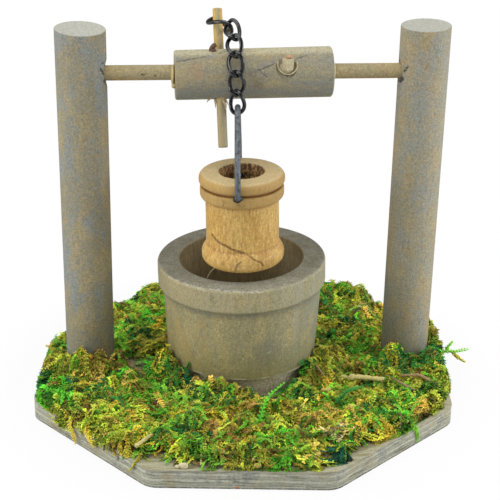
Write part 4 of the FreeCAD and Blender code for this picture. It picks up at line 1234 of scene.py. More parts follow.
    def build_litter(self) -> None:
        """Makes the straws, strips of bark, seeds and a drop of glue among the moss."""
        straws = (
            rod(((-37.4, -57.0, 9.6), (-32.0, -51.4, 10.4)), 0.62, 0.15, 1),
            rod(((30.6, -18.4, 9.6), (37.0, -20.2, 10.4), (44.6, -22.0, 10.2)), 0.85, 0.25, 2),
            rod(((-17.5, -57.0, 8.6), (-18.2, -65.0, 7.4)), 0.35, 0.3, 3),
            rod(((-25.6, -13.0, 12.5), (-24.8, -19.0, 9.6)), 0.3, 0.3, 4),
            rod(((-3.4, -60.0, 9.0), (-2.6, -65.2, 8.4)), 0.4, 0.3, 6),
        )
        bark = (
            rod(((50.6, -21.0, 11.0), (56.0, -23.4, 12.4), (61.2, -27.0, 10.4)), 0.5, 0.3, 7),
            rod(((46.0, -20.0, 10.6), (53.0, -29.0, 10.0)), 0.35, 0.3, 8),
            rod(((21.0, -15.4, 15.0), (26.0, -23.0, 10.6)), 0.24, 0.3, 5, 8, 8),
            rod(((-46.4, -23.0, 10.0), (-44.0, -28.5, 9.0)), 0.45, 0.3, 9),
        )
        seeds = table(
            lump, ((24.7, -26.6, 9.6), (1.9, 0.8, 0.8), 0.10, 1),
            ((46.9, -46.2, 9.1), (1.1, 1.1, 1.0), 0.06, 2),
            ((-1.4, -66.4, 7.3), (1.2, 0.8, 0.8), 0.06, 3),
            ((16.3, -62.9, 8.4), (1.5, 1.0, 0.8), 0.2, 4),
            ((-11.6, -61.0, 9.2), (1.0, 1.0, 0.8), 0.08, 5),
        )
        glue = table(lump, ((-23.2, -64.6, 7.0), (1.5, 0.9, 0.9), 0.16, 6),
                     ((-25.1, -64.3, 6.7), (0.9, 0.6, 0.6), 0.16, 7))
        for name, finish, parts in (
            ("moss_straws", WOODS["moss_straw"].dress(), straws),
            ("moss_bark_strips", WOODS["moss_bark"].dress(), bark),
            ("moss_seeds", WOODS["moss_seed"].dress(), seeds),
            ("moss_glue", Glue("glue_pale", (212, 202, 164)).dress(), glue),
        ):
            add_parts(name, "stand", "moss", finish, *parts)

    def fronds(self, name: str, made: tuple[Points, ...], colours: Points,
               leaf: Material, least: Optional[float] = None) -> Object:
        """Makes one piece of fronds for the stand, painted frond by frond.

        The colour rises along the frond and with the depth at which a point lies in the moss:
        painted light and shade, darker where the fronds above would shade a point. A map gives
        every frond a cell of its own, in which it runs from left to right, so leaves at one place
        share their spot.

        Args:
            name: the piece's name.
            made: what frond_mesh() returned for it.
            colours: one colour for each frond.
            leaf: the finish.
            least: how light a leaf deep in the moss is, if not deep_light.

        Returns:
            The new piece.
        """
        points, faces, owner, share, glow = made
        piece = raise_mesh(name, points, faces)
        mesh = piece.data
        x, y, z = points.T
        # Painted shade: darker deep in the moss, less so where fronds hang past the plate's edge;
        # painted light towards each frond's tip.
        depth = np.clip((z - (self.plate.thick + self.height(x, y)) + 1.5) / 2.2, 0, 1)
        past = np.hypot(x, y) - self.plate.reach(np.arctan2(y, x))
        depth = np.maximum(depth, np.clip((past + 1.2) * 0.6, 0, 0.8))
        low = self.deep_light if least is None else least
        light = glow * (0.79 + 0.53 * share) * (low + (self.top_light - low) * depth)
        shade = np.ones((len(owner), 4))
        shade[:, :3] = colours[owner] * light[:, None]
        attribute = mesh.attributes.new("frond_colour_and_shade", "FLOAT_COLOR", "POINT")
        attribute.data.foreach_set("color", shade.astype(np.float32).ravel())
        corners = np.zeros(len(mesh.loops), np.int32)
        mesh.loops.foreach_get("vertex_index", corners)
        cells = int(math.ceil(math.sqrt(owner.max() + 1)))
        u = (owner % cells + 0.15 + 0.7 * share) / cells
        v = (owner // cells + 0.5 + 0.3 * np.sin(np.arange(len(owner)) * 2.4)) / cells
        uv = np.stack((u, v), -1)[corners]
        mesh.uv_layers.new(name="OFBake").data.foreach_set("uv", uv.astype(np.float32).ravel())
        add_piece(piece, "stand", leaf)
        return piece


# Finishes of the single pieces

WOODS: dict[str, WeatheredWood] = {each.name: each for each in table(
    WeatheredWood,
    ("moss_straw", Axis.ACROSS, (214, 206, 124), (200, 188, 118), (184, 176, 128), (140, 120, 70)),
    ("moss_bark", Axis.ACROSS, (170, 144, 102), (150, 124, 88), (140, 126, 100), (96, 72, 46)),
    ("moss_seed", Axis.ACROSS, (206, 180, 92), (190, 176, 96), (186, 178, 120), (150, 120, 60),
     0.2, 0.5),
    ("tub_wood", Axis.UPRIGHT, (182, 166, 120), (160, 152, 114), (150, 151, 130), (112, 100, 68),
     0.35, 1.0, (11.0, 3.0, 0.0)),
    ("left_post_wood", Axis.UPRIGHT, (164, 148, 108), (141, 135, 112), (130, 138, 138),
     (92, 86, 66), 0.95),
    ("right_post_wood", Axis.UPRIGHT, (170, 152, 114), (152, 147, 124), (144, 148, 142),
     (100, 92, 72), 0.8, 1.0, (0.0, 40.0, 9.0)),
    ("roller_wood", Axis.ACROSS, (162, 147, 110), (145, 139, 114), (128, 132, 126), (90, 84, 62),
     0.6, 0.95, (5.0, 0.0, 17.0), (170, 160, 128)),
    ("stub_wood", Axis.ACROSS, (182, 162, 118), (164, 152, 116), (150, 144, 116), (116, 102, 72),
     0.4, 1.0, (0.0, 0.0, 0.0), (184, 166, 122)),
    ("dowel_wood", Axis.DEEP, (196, 180, 138), (182, 172, 140), (166, 160, 138), (120, 106, 80),
     0.5, 0.7, (0.0, 0.0, 0.0), (196, 186, 150)),
    ("dowel_chip_wood", Axis.DEEP, (222, 160, 100), (212, 140, 84), (196, 150, 110),
     (150, 90, 50)),
    ("wedge_wood", Axis.UPRIGHT, (120, 92, 74), (98, 76, 62), (92, 80, 70), (50, 38, 32)),
)}


@dataclass(frozen=True)
class FrondLook:
    """Dry dyed fronds: each frond's colour with its painted light and shade, and fine mottling."""

    name: str = "moss_frond"

    def dress(self) -> Material:
        """The whole finish."""
        bench = Bench(self.name)
        # The attribute holds each frond's colour with its painted light and shade.
        own = bench.node("ShaderNodeAttribute", {"attribute_name": "frond_colour_and_shade"}, {}).outputs["Color"]
        speck = bench.noise(bench.place(), 0.8, 2.0, 0.6)
        return bench.finish(bench.shade(own, 0.72 + 0.6 * speck), 0.85)


@dataclass(frozen=True)
class MatLook:
    """The matted brown and green underside of the moss."""

    name: str = "moss_mat"

    def dress(self) -> Material:
        """The whole finish."""
        bench = Bench(self.name)
        where = bench.place()
        broad = bench.noise(where, 4.0, 3.0, 0.6)
        fine = bench.noise(where, 0.7, 3.0, 0.6)
        # Dark brown and green: partly the mat's own colour, partly painted shade in the gaps between
        # the fronds.
        colour = bench.blend((46, 37, 18), ((34, 46, 15), broad.rise(0.4, 0.6)))
        colour = bench.blend((150, 140, 110), (colour, bench.split(where)[2].rise(6.45, 7.3)))
        return bench.finish(bench.shade(colour, 0.5 + 0.9 * fine), 0.95, fine * 0.5)


@dataclass(frozen=True)
class Glue:
    """Hard glue with a little dirt in it."""

    name: str
    colour: Shown
    rough: float = 0.45

    def dress(self) -> Material:
        """The whole finish."""
        bench = Bench(self.name)
        dirt = bench.noise(bench.place(), 0.8, 3.0, 0.6)
        shaded = bench.shade(tint(*self.colour), 0.7 + 0.6 * dirt)
        return bench.finish(shaded, self.rough + 0.2 * (dirt - 0.5), dirt * 0.1)


@dataclass(frozen=True)
class Plywood:
    """Stained plywood: uneven plies along the edge, veneer with streaks on top and bottom."""

    name: str = "plate_plywood"

    def dress(self) -> Material:
        """The whole finish."""
        bench = Bench(self.name)
        where = bench.place()
        z = bench.split(bench.shaken(where, 7.0, 0.22))[2]
        sides = bench.times(where, 0.10, 0.10, 1.6)
        level = z * 0.93 + 0.6 * (bench.noise(where, 14.0, 2.0, 0.5) - 0.5)
        ply = bench.maths("FRACT", level)
        odd = bench.maths("FRACT", level * 0.5).rise(0.47, 0.53)
        line = ply.rise(0.16, 0.02) | ply.rise(0.88, 0.99)
        streak = bench.noise(sides, 0.7, 5.0, 0.72)
        crack = bench.noise(bench.plus(sides, 3.0, 5.0, 9.0), 0.9, 4.0, 0.7).rise(0.58, 0.66)
        dots = bench.noise(where, 0.75, 3.0, 0.72)
        blotch = bench.noise(where, 6.0, 4.0, 0.6)
        edge = bench.blend(
            (192, 193, 172),
            ((172, 171, 152), odd),
            ((176, 162, 122), blotch.rise(0.5, 0.66) * 0.55),
            ((132, 138, 136), blotch.rise(0.44, 0.34) * 0.5),
            ((98, 98, 86), streak.rise(0.50, 0.68) * 0.42),
            ((80, 80, 74), line * streak.rise(0.44, 0.62) * 0.62),
            ((58, 60, 62), crack * 0.5),
            ((48, 46, 40), z.rise(0.9, 0.1) * dots.rise(0.38, 0.56) * 0.85),
        )
        grain = bench.noise(bench.times(where, 0.12, 1.0, 1.0), 1.4, 4.0, 0.65)
        top = bench.blend((180, 177, 152), ((142, 134, 98), grain.rise(0.45, 0.7)),
                          ((128, 122, 66), dots.rise(0.50, 0.62) * 0.6))
        up = bench.facing()[2]
        flat = (up * up).rise(0.5, 0.9)
        colour = bench.shade(bench.blend(edge, (top, flat)), 1.0 + (dots - 0.5) * 1.1)
        relief = streak * 0.15 - line * 0.12 + dots * 0.14 - crack * 0.15
        for spot in table(
            Mark, (((-7.9, -67.6, 0.5), (-7.3, -67.6, 0.6)), 0.55, (196, 120, 60), 0.9, 0.05),
            (((28.4, -64.9, 5.6), (28.3, -64.9, 1.0)), 0.22, (70, 68, 62), 0.7, 0.05),
            (((36.5, -58.0, 5.4), (36.6, -58.0, 0.6)), 0.22, (74, 72, 64), 0.6, 0.05),
        ):
            colour, relief = spot.lay(bench, where, colour, relief)
        return bench.finish(colour, 0.8, relief)


@dataclass(frozen=True)
class TubWood:
    """Turned tub: speckled grey-brown stain, greyer on the rim, dark brown and rough inside."""

    name: str = "tub_wood"

    def dress(self) -> Material:
        """The whole finish."""
        bench = Bench(self.name)
        where = bench.place()
        colour, relief = WOODS[self.name].body(bench, where)
        x, y, z = bench.split(where)
        level = z - 0.035 * x
        upright = bench.times(where, 1.0, 1.0, 0.3)
        fine = bench.noise(where, 0.7, 4.0, 0.75)
        soft = bench.noise(upright, 3.0, 4.0, 0.6)
        sand = bench.noise(where, 0.45, 3.0, 0.75)
        thread = bench.noise(upright, 0.5, 3.0, 0.75)
        rings = bench.noise(upright, 1.0, 4.0, 0.7)
        band = x.rise(13.2, 14.4) * x.rise(16.4, 15.0) * level.rise(22.0, 27.0) * level.rise(37.5, 35.5)
        spot = bench.vectors("DISTANCE", bench.times(bench.shaken(where, 4.0, 1.2), 1.0, 0.4, 0.75),
                             (4.6, -9.8, 17.0)).rise(6.0, 2.0)
        # Painted shadow under the band's lower edge.
        painted_band_shadow = level.rise(34.6, 37.2) * level.rise(39.4, 37.4)
        # Painted highlight along the body's lower edge, just above the foot.
        painted_lip_highlight = z.rise(12.3, 12.9) * z.rise(14.0, 13.3) * soft.rise(0.38, 0.55)
        foot = bench.blend((214, 203, 176), ((172, 158, 130), fine.rise(0.4, 0.6)))
        colour = bench.blend(
            colour,
            ((182, 156, 98), x.rise(-4.0, -20.0) * soft.rise(0.42, 0.60) * 0.6),
            ((148, 152, 142), x.rise(5.0, 20.0) * soft.rise(0.35, 0.60) * 0.6),
            ((176, 174, 158), band * 0.35),
            ((118, 120, 112), spot * 0.45),
            ((126, 120, 52), z.rise(27.0, 9.0) * 0.55),
            # Painted highlight on the band's rounded lower edge and above it.
            ((168, 164, 140), level.rise(36.0, 39.0) * soft.rise(0.35, 0.6) * 0.5),
            ((112, 114, 104), painted_band_shadow * 0.5),
            ((204, 200, 180), painted_lip_highlight * 0.5),
            (foot, z.rise(12.7, 12.1) * 0.85),
        )
        rim = bench.facing()[2].rise(0.55, 0.9) * z.rise(40.0, 42.0)
        colour = bench.shade(colour, 1.0 + (thread - 0.5) * 0.8 + (sand - 0.5) * 0.9)
        greyer = bench.blend((152, 150, 132), ((136, 132, 112), soft.rise(0.36, 0.64)))
        # Lighter towards the rim's near side: painted light; the other factor is grain.
        greyer = bench.shade(
            greyer, (0.80 + 0.20 * y.rise(-10.0, -25.0)) * (1.0 + (fine + sand - 1.0) * 1.7))
        relief = relief + thread * 0.10 + sand * 0.14 + sand * 0.12 * rim
        middle = bench.node("ShaderNodeCombineXYZ", {}, {0: x + 0.035 * (z - 6.2), 1: y}).outputs[0]
        radius = bench.vectors("DISTANCE", middle, (0.04, 0.0, 0.0))
        dark = bench.blend((150, 136, 100), ((128, 112, 78), rings.rise(0.34, 0.66)))
        dark = bench.shade(dark, 1.12 + (fine - 0.5) * 0.9)
        colour = bench.blend(colour, (greyer, rim), (dark, radius.rise(20.9, 20.5)))
        # Painted highlight along the rim's near edge.
        painted_rim_highlight = ((-25.8, -12.7, 44.8), (-20.2, -19.7, 45.2), (-15.7, -23.2, 45.4),
                    (-8.7, -26.1, 45.7), (-4.0, -27.2, 45.8), (2.8, -27.3, 45.6))
        for mark in table(
            Mark, (painted_rim_highlight, 0.40, (206, 203, 186), 0.5, -0.05, 1.6),
            (((5.2, -24.6, 22.7), (6.8, -24.2, 23.2)), 0.4, (196, 194, 180), 0.5),
        ):
            colour, relief = mark.lay(bench, where, colour, relief)
        return bench.finish(colour, 0.8, relief)


@dataclass(frozen=True)
class BucketWood:
    """Turned bucket: golden wood with short dashes of grain, burnt groove lines and scratches.

    Heights and radii are taken along and across the bucket's own axis, from its foot.
    """

    name: str = "bucket_wood"

    def dress(self) -> Material:
        """The whole finish."""
        bench = Bench(self.name)
        where = bench.place()
        own = bench.vectors("SUBTRACT", where, (-1.73, -10.27, 49.73))
        axis = (-0.0278, 0.0027, 0.9996)
        z = bench.vectors("DOT_PRODUCT", own, axis)
        on_axis = bench.vectors("SCALE", axis, scale=z)
        radius = bench.vectors("LENGTH", bench.vectors("SUBTRACT", own, on_axis))
        broad = bench.noise(bench.times(where, 1.0, 1.0, 0.4), 5.0, 3.0, 0.55)
        dash = bench.noise(bench.times(where, 1.0, 1.0, 0.22), 0.7, 3.0, 0.68)
        dot = bench.noise(where, 0.7, 3.0, 0.7)
        torn = bench.noise(bench.times(where, 1.0, 1.0, 0.6), 0.9, 3.0, 0.72)
        band = z.rise(21.3, 22.0)
        colour = bench.blend(
            (210, 172, 96),
            ((196, 154, 78), broad.rise(0.4, 0.62)),
            ((158, 116, 54), dash.rise(0.50, 0.64) * 0.5),
            ((232, 204, 140), dash.rise(0.46, 0.34) * 0.5),
            ((170, 138, 80), band * (0.4 + 0.5 * dot.rise(0.35, 0.6))),
        )
        colour = bench.shade(colour, 1.0 - 0.09 * z.rise(7.5, 4.5) - 0.05 * band)
        # Painted light: lighter towards the left side.
        colour = bench.shade(colour, 1.0 + 0.16 * bench.split(where)[0].rise(-6.0, -14.0))
        top = bench.facing()[2].rise(0.6, 0.95) * z.rise(28.0, 29.0)
        groove = z.rise(25.5, 25.85) * z.rise(26.5, 26.15)
        under = z.rise(20.8, 21.25) * z.rise(22.0, 21.5)
        foot = z.rise(5.9, 6.4) * z.rise(7.2, 6.8)
        inner = radius.rise(7.5, 7.2) * z.rise(5.5, 6.5)
        colour = bench.blend(
            colour,
            ((202, 181, 134), top * 0.9),
            ((140, 88, 46), groove * 0.7),
            ((158, 106, 52), (under | foot) * (dash.rise(0.3, 0.55) * 0.35 + 0.15)),
            (bench.blend((84, 60, 34), ((186, 146, 90), torn.rise(0.42, 0.60))), inner),
        )
        colour = bench.shade(colour, 1.0 + (dot - 0.5) * 1.1)
        relief = dash * 0.10 + dot * 0.12 - groove * 0.1 + torn * 0.3 * inner
        brown = (104, 60, 26)
        burn = ((-12.1, -16.1, 60.8), (-11.0, -17.6, 59.5), (-8.5, -19.9, 58.6), (-5.4, -21.4, 57.4),
                (-2.7, -21.9, 56.7))
        tail = ((-0.8, -22.2, 55.8), (1.1, -22.8, 54.3), (2.7, -22.6, 53.7), (3.4, -22.4, 52.4))
        for mark in table(
            Mark, (burn, 0.62, brown, 0.8, 0.25, 0.8), (tail, 0.48, brown, 0.7, 0.2),
            (((-3.4, -23.1, 54.1), (-4.7, -23.1, 53.3), (-5.1, -22.8, 51.0)), 0.45, (120, 92, 58)),
            (((-9.5, -21.4, 74.5), (-8.8, -21.9, 73.6), (-9.2, -21.6, 72.5)), 0.28, (132, 96, 56), 0.7),
            (((-5.0, -23.2, 73.4), (-3.5, -23.5, 72.8), (-2.3, -23.5, 73.5)), 0.28, (140, 104, 62),
             0.6),
        ):
            colour, relief = mark.lay(bench, where, colour, relief)
        return bench.finish(colour, 0.6, relief)


@dataclass(frozen=True)
class Bamboo:
    """Split bamboo: straw-yellow with bright yellow edges and grey-brown streaks along it."""

    name: str = "peg_bamboo"

    def dress(self) -> Material:
        """The whole finish."""
        bench = Bench(self.name)
        where = bench.place()
        streak = bench.noise(bench.times(where, 1.0, 0.9, 0.05), 0.8, 3.0, 0.6)
        fine = bench.noise(where, 0.6, 3.0, 0.7)
        x, _, z = bench.split(where)
        middle = x + 0.052 * (z - 108.0)
        edge = middle.rise(-7.75, -7.5) | middle.rise(-9.2, -9.45)
        burnt = z.rise(119.0, 116.6) * z.rise(112.0, 114.0) * fine.rise(0.35, 0.6)
        colour = bench.blend(
            (188, 170, 120),
            ((156, 147, 114), streak.rise(0.42, 0.6)),
            ((226, 178, 60), (streak.rise(0.58, 0.66) | edge) * 0.7),
            ((146, 140, 114), z.rise(104.0, 98.0) * 0.75),
            ((96, 60, 30), burnt * 0.6),
        )
        return bench.finish(bench.shade(colour, 0.8 + 0.4 * fine), 0.55, fine * 0.1)

# Camera, light and floor


@dataclass
class Studio:
    """Camera at the photograph's place, soft light all round and a white floor.

    Attributes:
        aim: the point that the camera looks at, and away its distance from there.
        azimuth: the camera's direction from there, in degrees round from the front.
        roll: its turn about its line of sight, in degrees.
        lamps: name, place, side and power in watts of each lamp.
        floor_half: half the floor's side.
        floor_paint: the floor's colour where lit, and floor_glow how white it shows by itself.
        shadow_near: where the shadow on the floor starts to fade, and shadow_far where it ends.
    """

    lens: float = 96.85
    sensor: float = 36.0
    aim: Triple = (1.466, -0.112, 48.148)
    away: float = 443.6
    azimuth: float = -5.525
    elevation: float = 23.614
    roll: float = 1.067
    lamps: tuple[tuple[str, Triple, float, float], ...] = (
        ("top_light", (-40.0, -110.0, 500.0), 380.0, 1.0),
        ("left_light", (-262.0, -90.0, 130.0), 100.0, 0.225),
        ("right_light", (262.0, -66.0, 115.0), 100.0, 0.265),
    )
    floor_half: float = 3000.0
    floor_paint: tuple[float, ...] = (0.70, 0.705, 0.72, 1.0)
    floor_glow: float = 1.01
    shadow_near: float = 74.0
    shadow_far: float = 106.0
    shadow_share: float = 0.10

    def camera(self) -> None:
        """Stands the camera on its ray from the aim, rolled about that ray."""
        around, rise, roll = np.radians((self.azimuth, self.elevation, self.roll)).tolist()
        back = Vector((math.sin(around) * math.cos(rise), -math.cos(around) * math.cos(rise),
                       math.sin(rise)))
        right = Vector((math.cos(around), math.sin(around), 0.0))
        tilted = right * math.cos(roll) + back.cross(right) * math.sin(roll)
        turn = Matrix((tilted, back.cross(tilted), back)).transposed().to_4x4()
        data = bpy.data.cameras.new("camera")
        data.lens = self.lens
        data.sensor_width = self.sensor
        data.clip_start = 0.01
        self.put("camera", data, Vector(self.aim) + back * self.away, turn)
        bpy.context.scene.camera = bpy.data.objects["camera"]

    def put(self, name: str, data: Any, place: Vector, turn: Matrix) -> None:
        """Puts a camera or lamp into the scene.

        Args:
            name: its name.
            data: what it is.
            place: where it stands, in millimetres.
            turn: its rotation.
        """
        made = bpy.data.objects.new(name, data)
        made.matrix_world = Matrix.Translation(place * MM) @ turn
        bpy.context.scene.collection.objects.link(made)

    def hang_lamps(self) -> None:
        """Hangs the soft square lamps, which look at the middle of the object."""
        for name, place, size, power in self.lamps:
            data = bpy.data.lights.new(name, "AREA")
            data.shape = "SQUARE"
            data.size = size * MM
            data.energy = power
            look = (Vector(self.aim) - Vector(place)).to_track_quat("-Z", "Y")
            self.put(name, data, Vector(place), look.to_matrix().to_4x4())

    def ray(self, bench: Bench, kind: str) -> Wire:
        """1 for rays of a kind, and 0 for all others."""
        return Wire(bench, bench.node("ShaderNodeLightPath", {}, {}).outputs[kind])

    def seen_directly(self, bench: Bench) -> Wire:
        """1 for rays that draw the background: from the camera or through glass."""
        return self.ray(bench, "Is Camera Ray") | self.ray(bench, "Is Transmission Ray")

    def world(self) -> None:
        """White where it is seen, and an even soft light on the object."""
        world = bpy.data.worlds.new("studio")
        world.use_nodes = True
        bpy.context.scene.world = world
        bench = Bench.__new__(Bench)
        bench.tree = world.node_tree
        bench.tree.nodes.clear()
        output = bench.tree.nodes.new("ShaderNodeOutputWorld")
        direct = self.seen_directly(bench)
        x, _, z = bench.split(bench.node("ShaderNodeTexCoord", {}, {}).outputs["Generated"])
        light = 0.19 + 0.72 * (x * x) + 0.36 * z.rise(-0.1, 1.0)
        mirror = 0.08 + 1.2 * (x * x).rise(0.5, 0.85) + 1.2 * z.rise(0.6, 0.9)
        gloss = self.ray(bench, "Is Glossy Ray")
        strength = direct + (1.0 - direct) * (gloss * mirror + (1.0 - gloss) * light)
        shade = bench.node("ShaderNodeBackground", {}, {"Color": WHITE, "Strength": strength})
        bench.plug(output.inputs["Surface"], shade.outputs[0])

    def floor(self) -> None:
        """A wide white floor that shows white where lit and keeps a faint shadow."""
        corners = ((-1, -1, 0), (1, -1, 0), (1, 1, 0), (-1, 1, 0))
        made = raise_mesh("floor", np.array(corners, float) * self.floor_half,
                          np.array([[0, 1, 2, 3]]), False)
        bench = Bench("floor_white")
        bench.finish(self.floor_paint, 0.9)
        glow = bench.node("ShaderNodeEmission", {}, {"Color": WHITE, "Strength": self.floor_glow})
        far = bench.vectors("LENGTH", bench.place()).rise(self.shadow_near, self.shadow_far)
        mixed = bench.node("ShaderNodeMixShader", {}, {
            0: self.seen_directly(bench) * (1.0 - self.shadow_share + self.shadow_share * far),
            1: bench.shader.outputs[0], 2: glow.outputs[0]})
        bench.plug(bench.output.inputs["Surface"], mixed.outputs[0])
        made.data.materials.append(bench.material)

    def build(self) -> None:
        """Sets up everything but the object."""
        bpy.context.scene.view_settings.view_transform = "Standard"
        self.camera()
        self.hang_lamps()
        self.world()
        self.floor()
        log.info("studio ready")


# Sub-assemblies


@dataclass
class Stand:
    """Plate, posts, tub and screws."""

    bore_level: float = 108.8
    left_mouth: float = -43.9
    right_mouth: float = 47.4

    def mouth(self, x: float, out: int, dark: Shown, chip: Shown) -> tuple[Mark, ...]:
        """Dark marks and chips round the mouth of a post's bore.

        Args:
            x: place of the mouth.
            out: 1 where the mouth faces right, and -1 where it faces left.
            dark: colour of the dark marks.
            chip: colour of the broken wood.

        Returns:
            The marks.
        """
        rows = (
            (2.0, -4.9, 2.6, 0.8, -3.9, 0.8, 0.6, dark, 0.9),
            (1.0, -3.4, -1.6, 0.4, -2.0, -3.0, 0.9, dark, 0.95),
            (0.8, -3.0, 3.2, 0.3, 0.0, 3.1, 0.5, chip, 0.8),
            (1.7, -4.6, 4.2, 1.0, -3.2, 4.4, 0.5, chip, 0.7),
        )
        return tuple(Mark(((x - a * out, b, self.bore_level + c),
                           (x - d * out, e, self.bore_level + f)), *look)
                     for a, b, c, d, e, f, *look in rows)

    def build(self) -> None:
        """Dresses the stand's wood."""
        dark, chip = (44, 40, 34), (206, 150, 84)
        left = self.mouth(self.left_mouth, 1, dark, dark)
        right = self.mouth(self.right_mouth, -1, dark, chip)
        dress("base_plate", Plywood().dress())
        dress("left_post", WOODS["left_post_wood"].dress(*left))
        dress("right_post", WOODS["right_post_wood"].dress(*right))
        dress("well_tub", TubWood().dress())
        dress("base_screws", Gunmetal("screw_steel", (150, 150, 146), (186, 186, 180),
                                      (110, 110, 106), 0.45, 0.9).dress())


@dataclass
class Windlass:
    """Roller, axle stubs, handle peg and cross dowel, with their splinters and glue."""

    centre: float = 108.8
    radius: float = 7.7
    dowel_x: float = 11.4
    dowel_radius: float = 3.1

    def roller_marks(self) -> tuple[Mark, ...]:
        """Cracks, a dark mark at the peg's foot, the painted shadow in the groove round the dowel,
        the chain's painted shadow on the roller, painted light along its top, and warm and bluish
        patches.
        """
        crack = (88, 76, 52)
        fork = (2.2, -7.2, 111.4)
        long_crack = ((8.2, -5.8, 112.9), (5.9, -6.6, 112.5), (4.1, -7.0, 111.8), fork)
        return table(
            Mark,
            (((-22.8, -5.2, 113.5), (-18.5, -4.6, 114.1), (-13.9, -3.9, 114.7)), 0.28, crack,
             0.6, 0.2, 1.8),
            (long_crack, 0.34, crack, 0.65, 0.25, 1.6),
            ((fork, (3.7, -7.5, 110.4), (5.0, -7.7, 109.3)), 0.24, crack, 0.4, 0.15, 1.6),
            (((14.4, -5.2, 114.4), (15.7, -4.9, 114.6), (17.3, -4.4, 115.1)), 0.24, crack,
             0.6, 0.2, 1.4),
            (((-10.6, -1.9, 115.4), (-9.2, -2.3, 115.3), (-7.6, -1.5, 115.8)), 0.8,
             (76, 60, 40), 0.8, 0.2),
            # Painted shadow in the groove round the dowel.
            (((9.4, -6.9, 110.7), (11.4, -7.3, 109.7), (13.5, -6.9, 110.8)), 0.45,
             (70, 68, 58), 0.8, 0.2),
            (((-16.8, -6.6, 112.2), (-16.2, -7.2, 110.6)), 2.6, (176, 134, 92), 0.35, 0.0),
            (((-12.6, -3.4, 114.9), (-11.4, -3.2, 115.1)), 1.0, (104, 112, 128), 0.5, 0.0),
            # Painted shadow of the chain.
            (((0.6, -7.6, 110.0), (2.6, -7.7, 106.4)), 2.4, (104, 84, 56), 0.35, 0.0),
            # Painted light along the roller's top.
            (((-24.0, -1.0, 116.6), (27.0, -1.0, 116.9)), 4.0, (216, 209, 174), 0.55, 0.0),
            (((-24.0, -6.6, 103.2), (27.0, -6.8, 103.4)), 3.4, (120, 127, 130), 0.5, 0.0),
            (((4.0, -6.0, 112.6), (9.0, -5.0, 114.2)), 1.5, (120, 128, 134), 0.4, 0.0),
            (((13.0, -7.6, 107.4), (24.0, -7.4, 107.0)), 1.2, (126, 130, 130), 0.45, 0.0),
        )

    def build(self) -> None:
        """Dresses the windlass and adds its splinters and glue."""
        dress("windlass_roller", WOODS["roller_wood"].dress(*self.roller_marks()))
        stub = WOODS["stub_wood"].dress(*table(
            # Painted highlights along the stubs' lower edges.
            Mark, (((-42.0, -2.0, 107.4), (-26.0, -2.1, 107.0)), 0.5, (196, 144, 70), 0.5, 0.0),
            (((30.0, -2.1, 107.2), (46.0, -2.0, 107.0)), 0.5, (206, 120, 60), 0.5, 0.0),
            (((-33.2, -2.4, 108.8), (-32.6, -2.4, 108.7)), 0.45, (60, 52, 38)),
            (((-29.2, -2.4, 108.6), (-28.8, -2.4, 108.5)), 0.35, (60, 52, 38)),
        ))
        dress("left_axle_stub", stub)
        dress("right_axle_stub", stub)
        dress("handle_peg", Bamboo().dress())
        pale = WOODS["dowel_wood"].dress()
        dress("cross_dowel", pale)
        tan = Glue("glue_tan", (196, 176, 124), 0.6).dress()
        light = Glue("glue_light", (206, 192, 146), 0.6).dress()
        warm, rust = WOODS["dowel_chip_wood"].dress(), WOODS["wedge_wood"].dress()
        for name, slot, finish, parts in (
            ("peg_splinters", "roller_wood", pale, self.splinters()),
            ("dowel_stump", "dowel_wood", pale, self.stump()),
            ("dowel_chips", "dowel_wood", warm,
             (lump((11.9, -6.0, 115.1), (0.9, 0.7, 0.5), 0.2, 33),
              lump((10.9, -6.9, 114.4), (0.35, 0.3, 0.35), 0.2, 34))),
            ("peg_wedge", "dowel_wood", rust,
             (shard((-10.4, -0.9, 117.9), (-12.4, -1.2, 115.3), 0.75, 41),
              lump((-11.2, -0.9, 116.0), (0.95, 0.7, 0.9), 0.15, 42))),
            ("roller_glue_left", "roller_wood", tan,
             (lump((-23.6, -0.4, 108.2), (0.7, 3.4, 3.2), 0.07, 51),
              lump((-23.4, -2.8, 105.4), (0.7, 1.2, 0.9), 0.14, 52))),
            ("roller_glue_right", "roller_wood", light,
             (lump((26.5, -0.6, 108.9), (0.7, 3.2, 3.1), 0.05, 53),)),
        ):
            add_parts(name, "windlass", slot, finish, *parts)

    def splinters(self) -> tuple[Skin, ...]:
        """The torn wood at the peg's two holes: below it a fringe, above it three slivers."""
        return table(
            shard,
            ((-12.0, -3.6, 101.6), (-13.4, -5.2, 100.6), 0.42, 0),
            ((-10.8, -4.0, 101.4), (-10.6, -5.0, 98.6), 0.42, 1),
            ((-9.8, -4.3, 101.3), (-8.6, -5.0, 99.4), 0.42, 2),
            ((-8.6, -4.4, 101.3), (-8.2, -5.0, 97.4), 0.42, 3),
            ((-7.6, -4.2, 101.3), (-6.6, -5.0, 99.6), 0.42, 4),
            ((-10.9, -1.7, 115.3), (-8.8, -2.7, 116.2), 0.32, 21),
            ((-7.2, -1.6, 115.6), (-9.0, -2.5, 116.0), 0.28, 22),
            ((-10.2, -0.8, 115.8), (-10.8, -1.2, 117.0), 0.3, 23),
        )

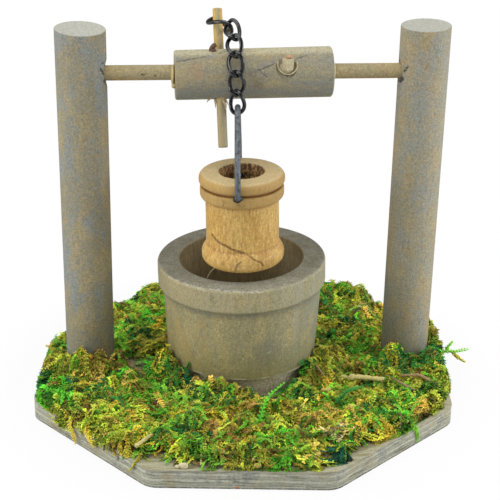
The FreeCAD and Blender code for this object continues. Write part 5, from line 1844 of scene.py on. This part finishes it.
    def stump(self) -> tuple[Skin, ...]:
        """The dowel's torn stump, and a ring of fibres laid round its hole in the roller.

        The ring's height on the roller follows the angle drop, whose sine and cosine place it on
        the roller's round side.
        """
        turn = np.linspace(-0.35, math.pi + 0.35, 23)
        drop = 1.02 + 3.05 / self.radius * np.sin(turn)
        ring = np.stack((self.dowel_x + self.dowel_radius * np.cos(turn),
                         -self.radius * np.sin(drop), self.centre + self.radius * np.cos(drop)), 1)
        post = ((11.5, -6.4, 111.0), (11.5, -6.3, 112.6), (11.6, -6.0, 114.5))
        return (rod(ring, 0.24, 0.2, 31, 6, 30),
                lump((11.5, -6.3, 111.6), (1.95, 1.5, 2.0), 0.03, 32, 0.35, 16, 22),
                rod(post, 1.82, 0.04, 36, 16, 8))


@dataclass
class Chain:
    """Six twisted links."""

    links: int = 6

    def build(self) -> None:
        """Dresses the links."""
        metal = Gunmetal("chain_gunmetal", (13, 14, 17), (42, 48, 57), (6, 6, 8), 0.24, 0.4,
                         coat=0.8, mottled=0.7).dress()
        for number in range(self.links):
            dress(f"chain_link_{number + 1}", metal)


@dataclass
class Bucket:
    """Turned bucket and its wire bail, with the glue that holds the wire."""

    def build(self) -> None:
        """Dresses the bucket and the bail, and adds the glue at the wire's two ends."""
        dress("bucket", BucketWood().dress())
        dress("bail", Gunmetal("bail_wire", (98, 104, 110), (132, 138, 143), (48, 50, 54), 0.50,
                               0.35, mottled=0.75).dress())
        black = Glue("glue_black", (30, 29, 31), 0.3).dress()
        thread = Glue("glue_thread", (206, 196, 158), 0.5).dress()
        hair = ((-9.8, -17.0, 50.4), (-11.2, -16.6, 49.6), (-12.7, -15.8, 47.6),
                (-13.7, -15.2, 45.0))
        for name, finish, parts in (
            ("bail_glue_front", black, (lump((-4.65, -22.9, 75.1), (1.65, 0.75, 1.2), 0.06, 61),)),
            ("bail_glue_back", black, (lump((-2.6, -3.9, 76.3), (1.0, 0.7, 0.7), 0.12, 62),
                                       lump((-1.4, -3.9, 75.8), (0.5, 0.4, 0.4), 0.12, 63))),
            ("glue_hair", thread, (rod(hair, 0.09, 0.1, 64, 5, 12),)),
        ):
            add_parts(name, "bucket", "bucket_wood", finish, *parts)


def main() -> None:
    """Builds the studio and every sub-assembly in order."""
    logging.basicConfig(level=logging.INFO, format="%(name)s: %(message)s")
    Studio().build()
    Stand().build()
    MossBed().build(FrondLook().dress(), MatLook().dress())
    Windlass().build()
    Chain().build()
    Bucket().build()


if __name__ == "__main__":
    main()
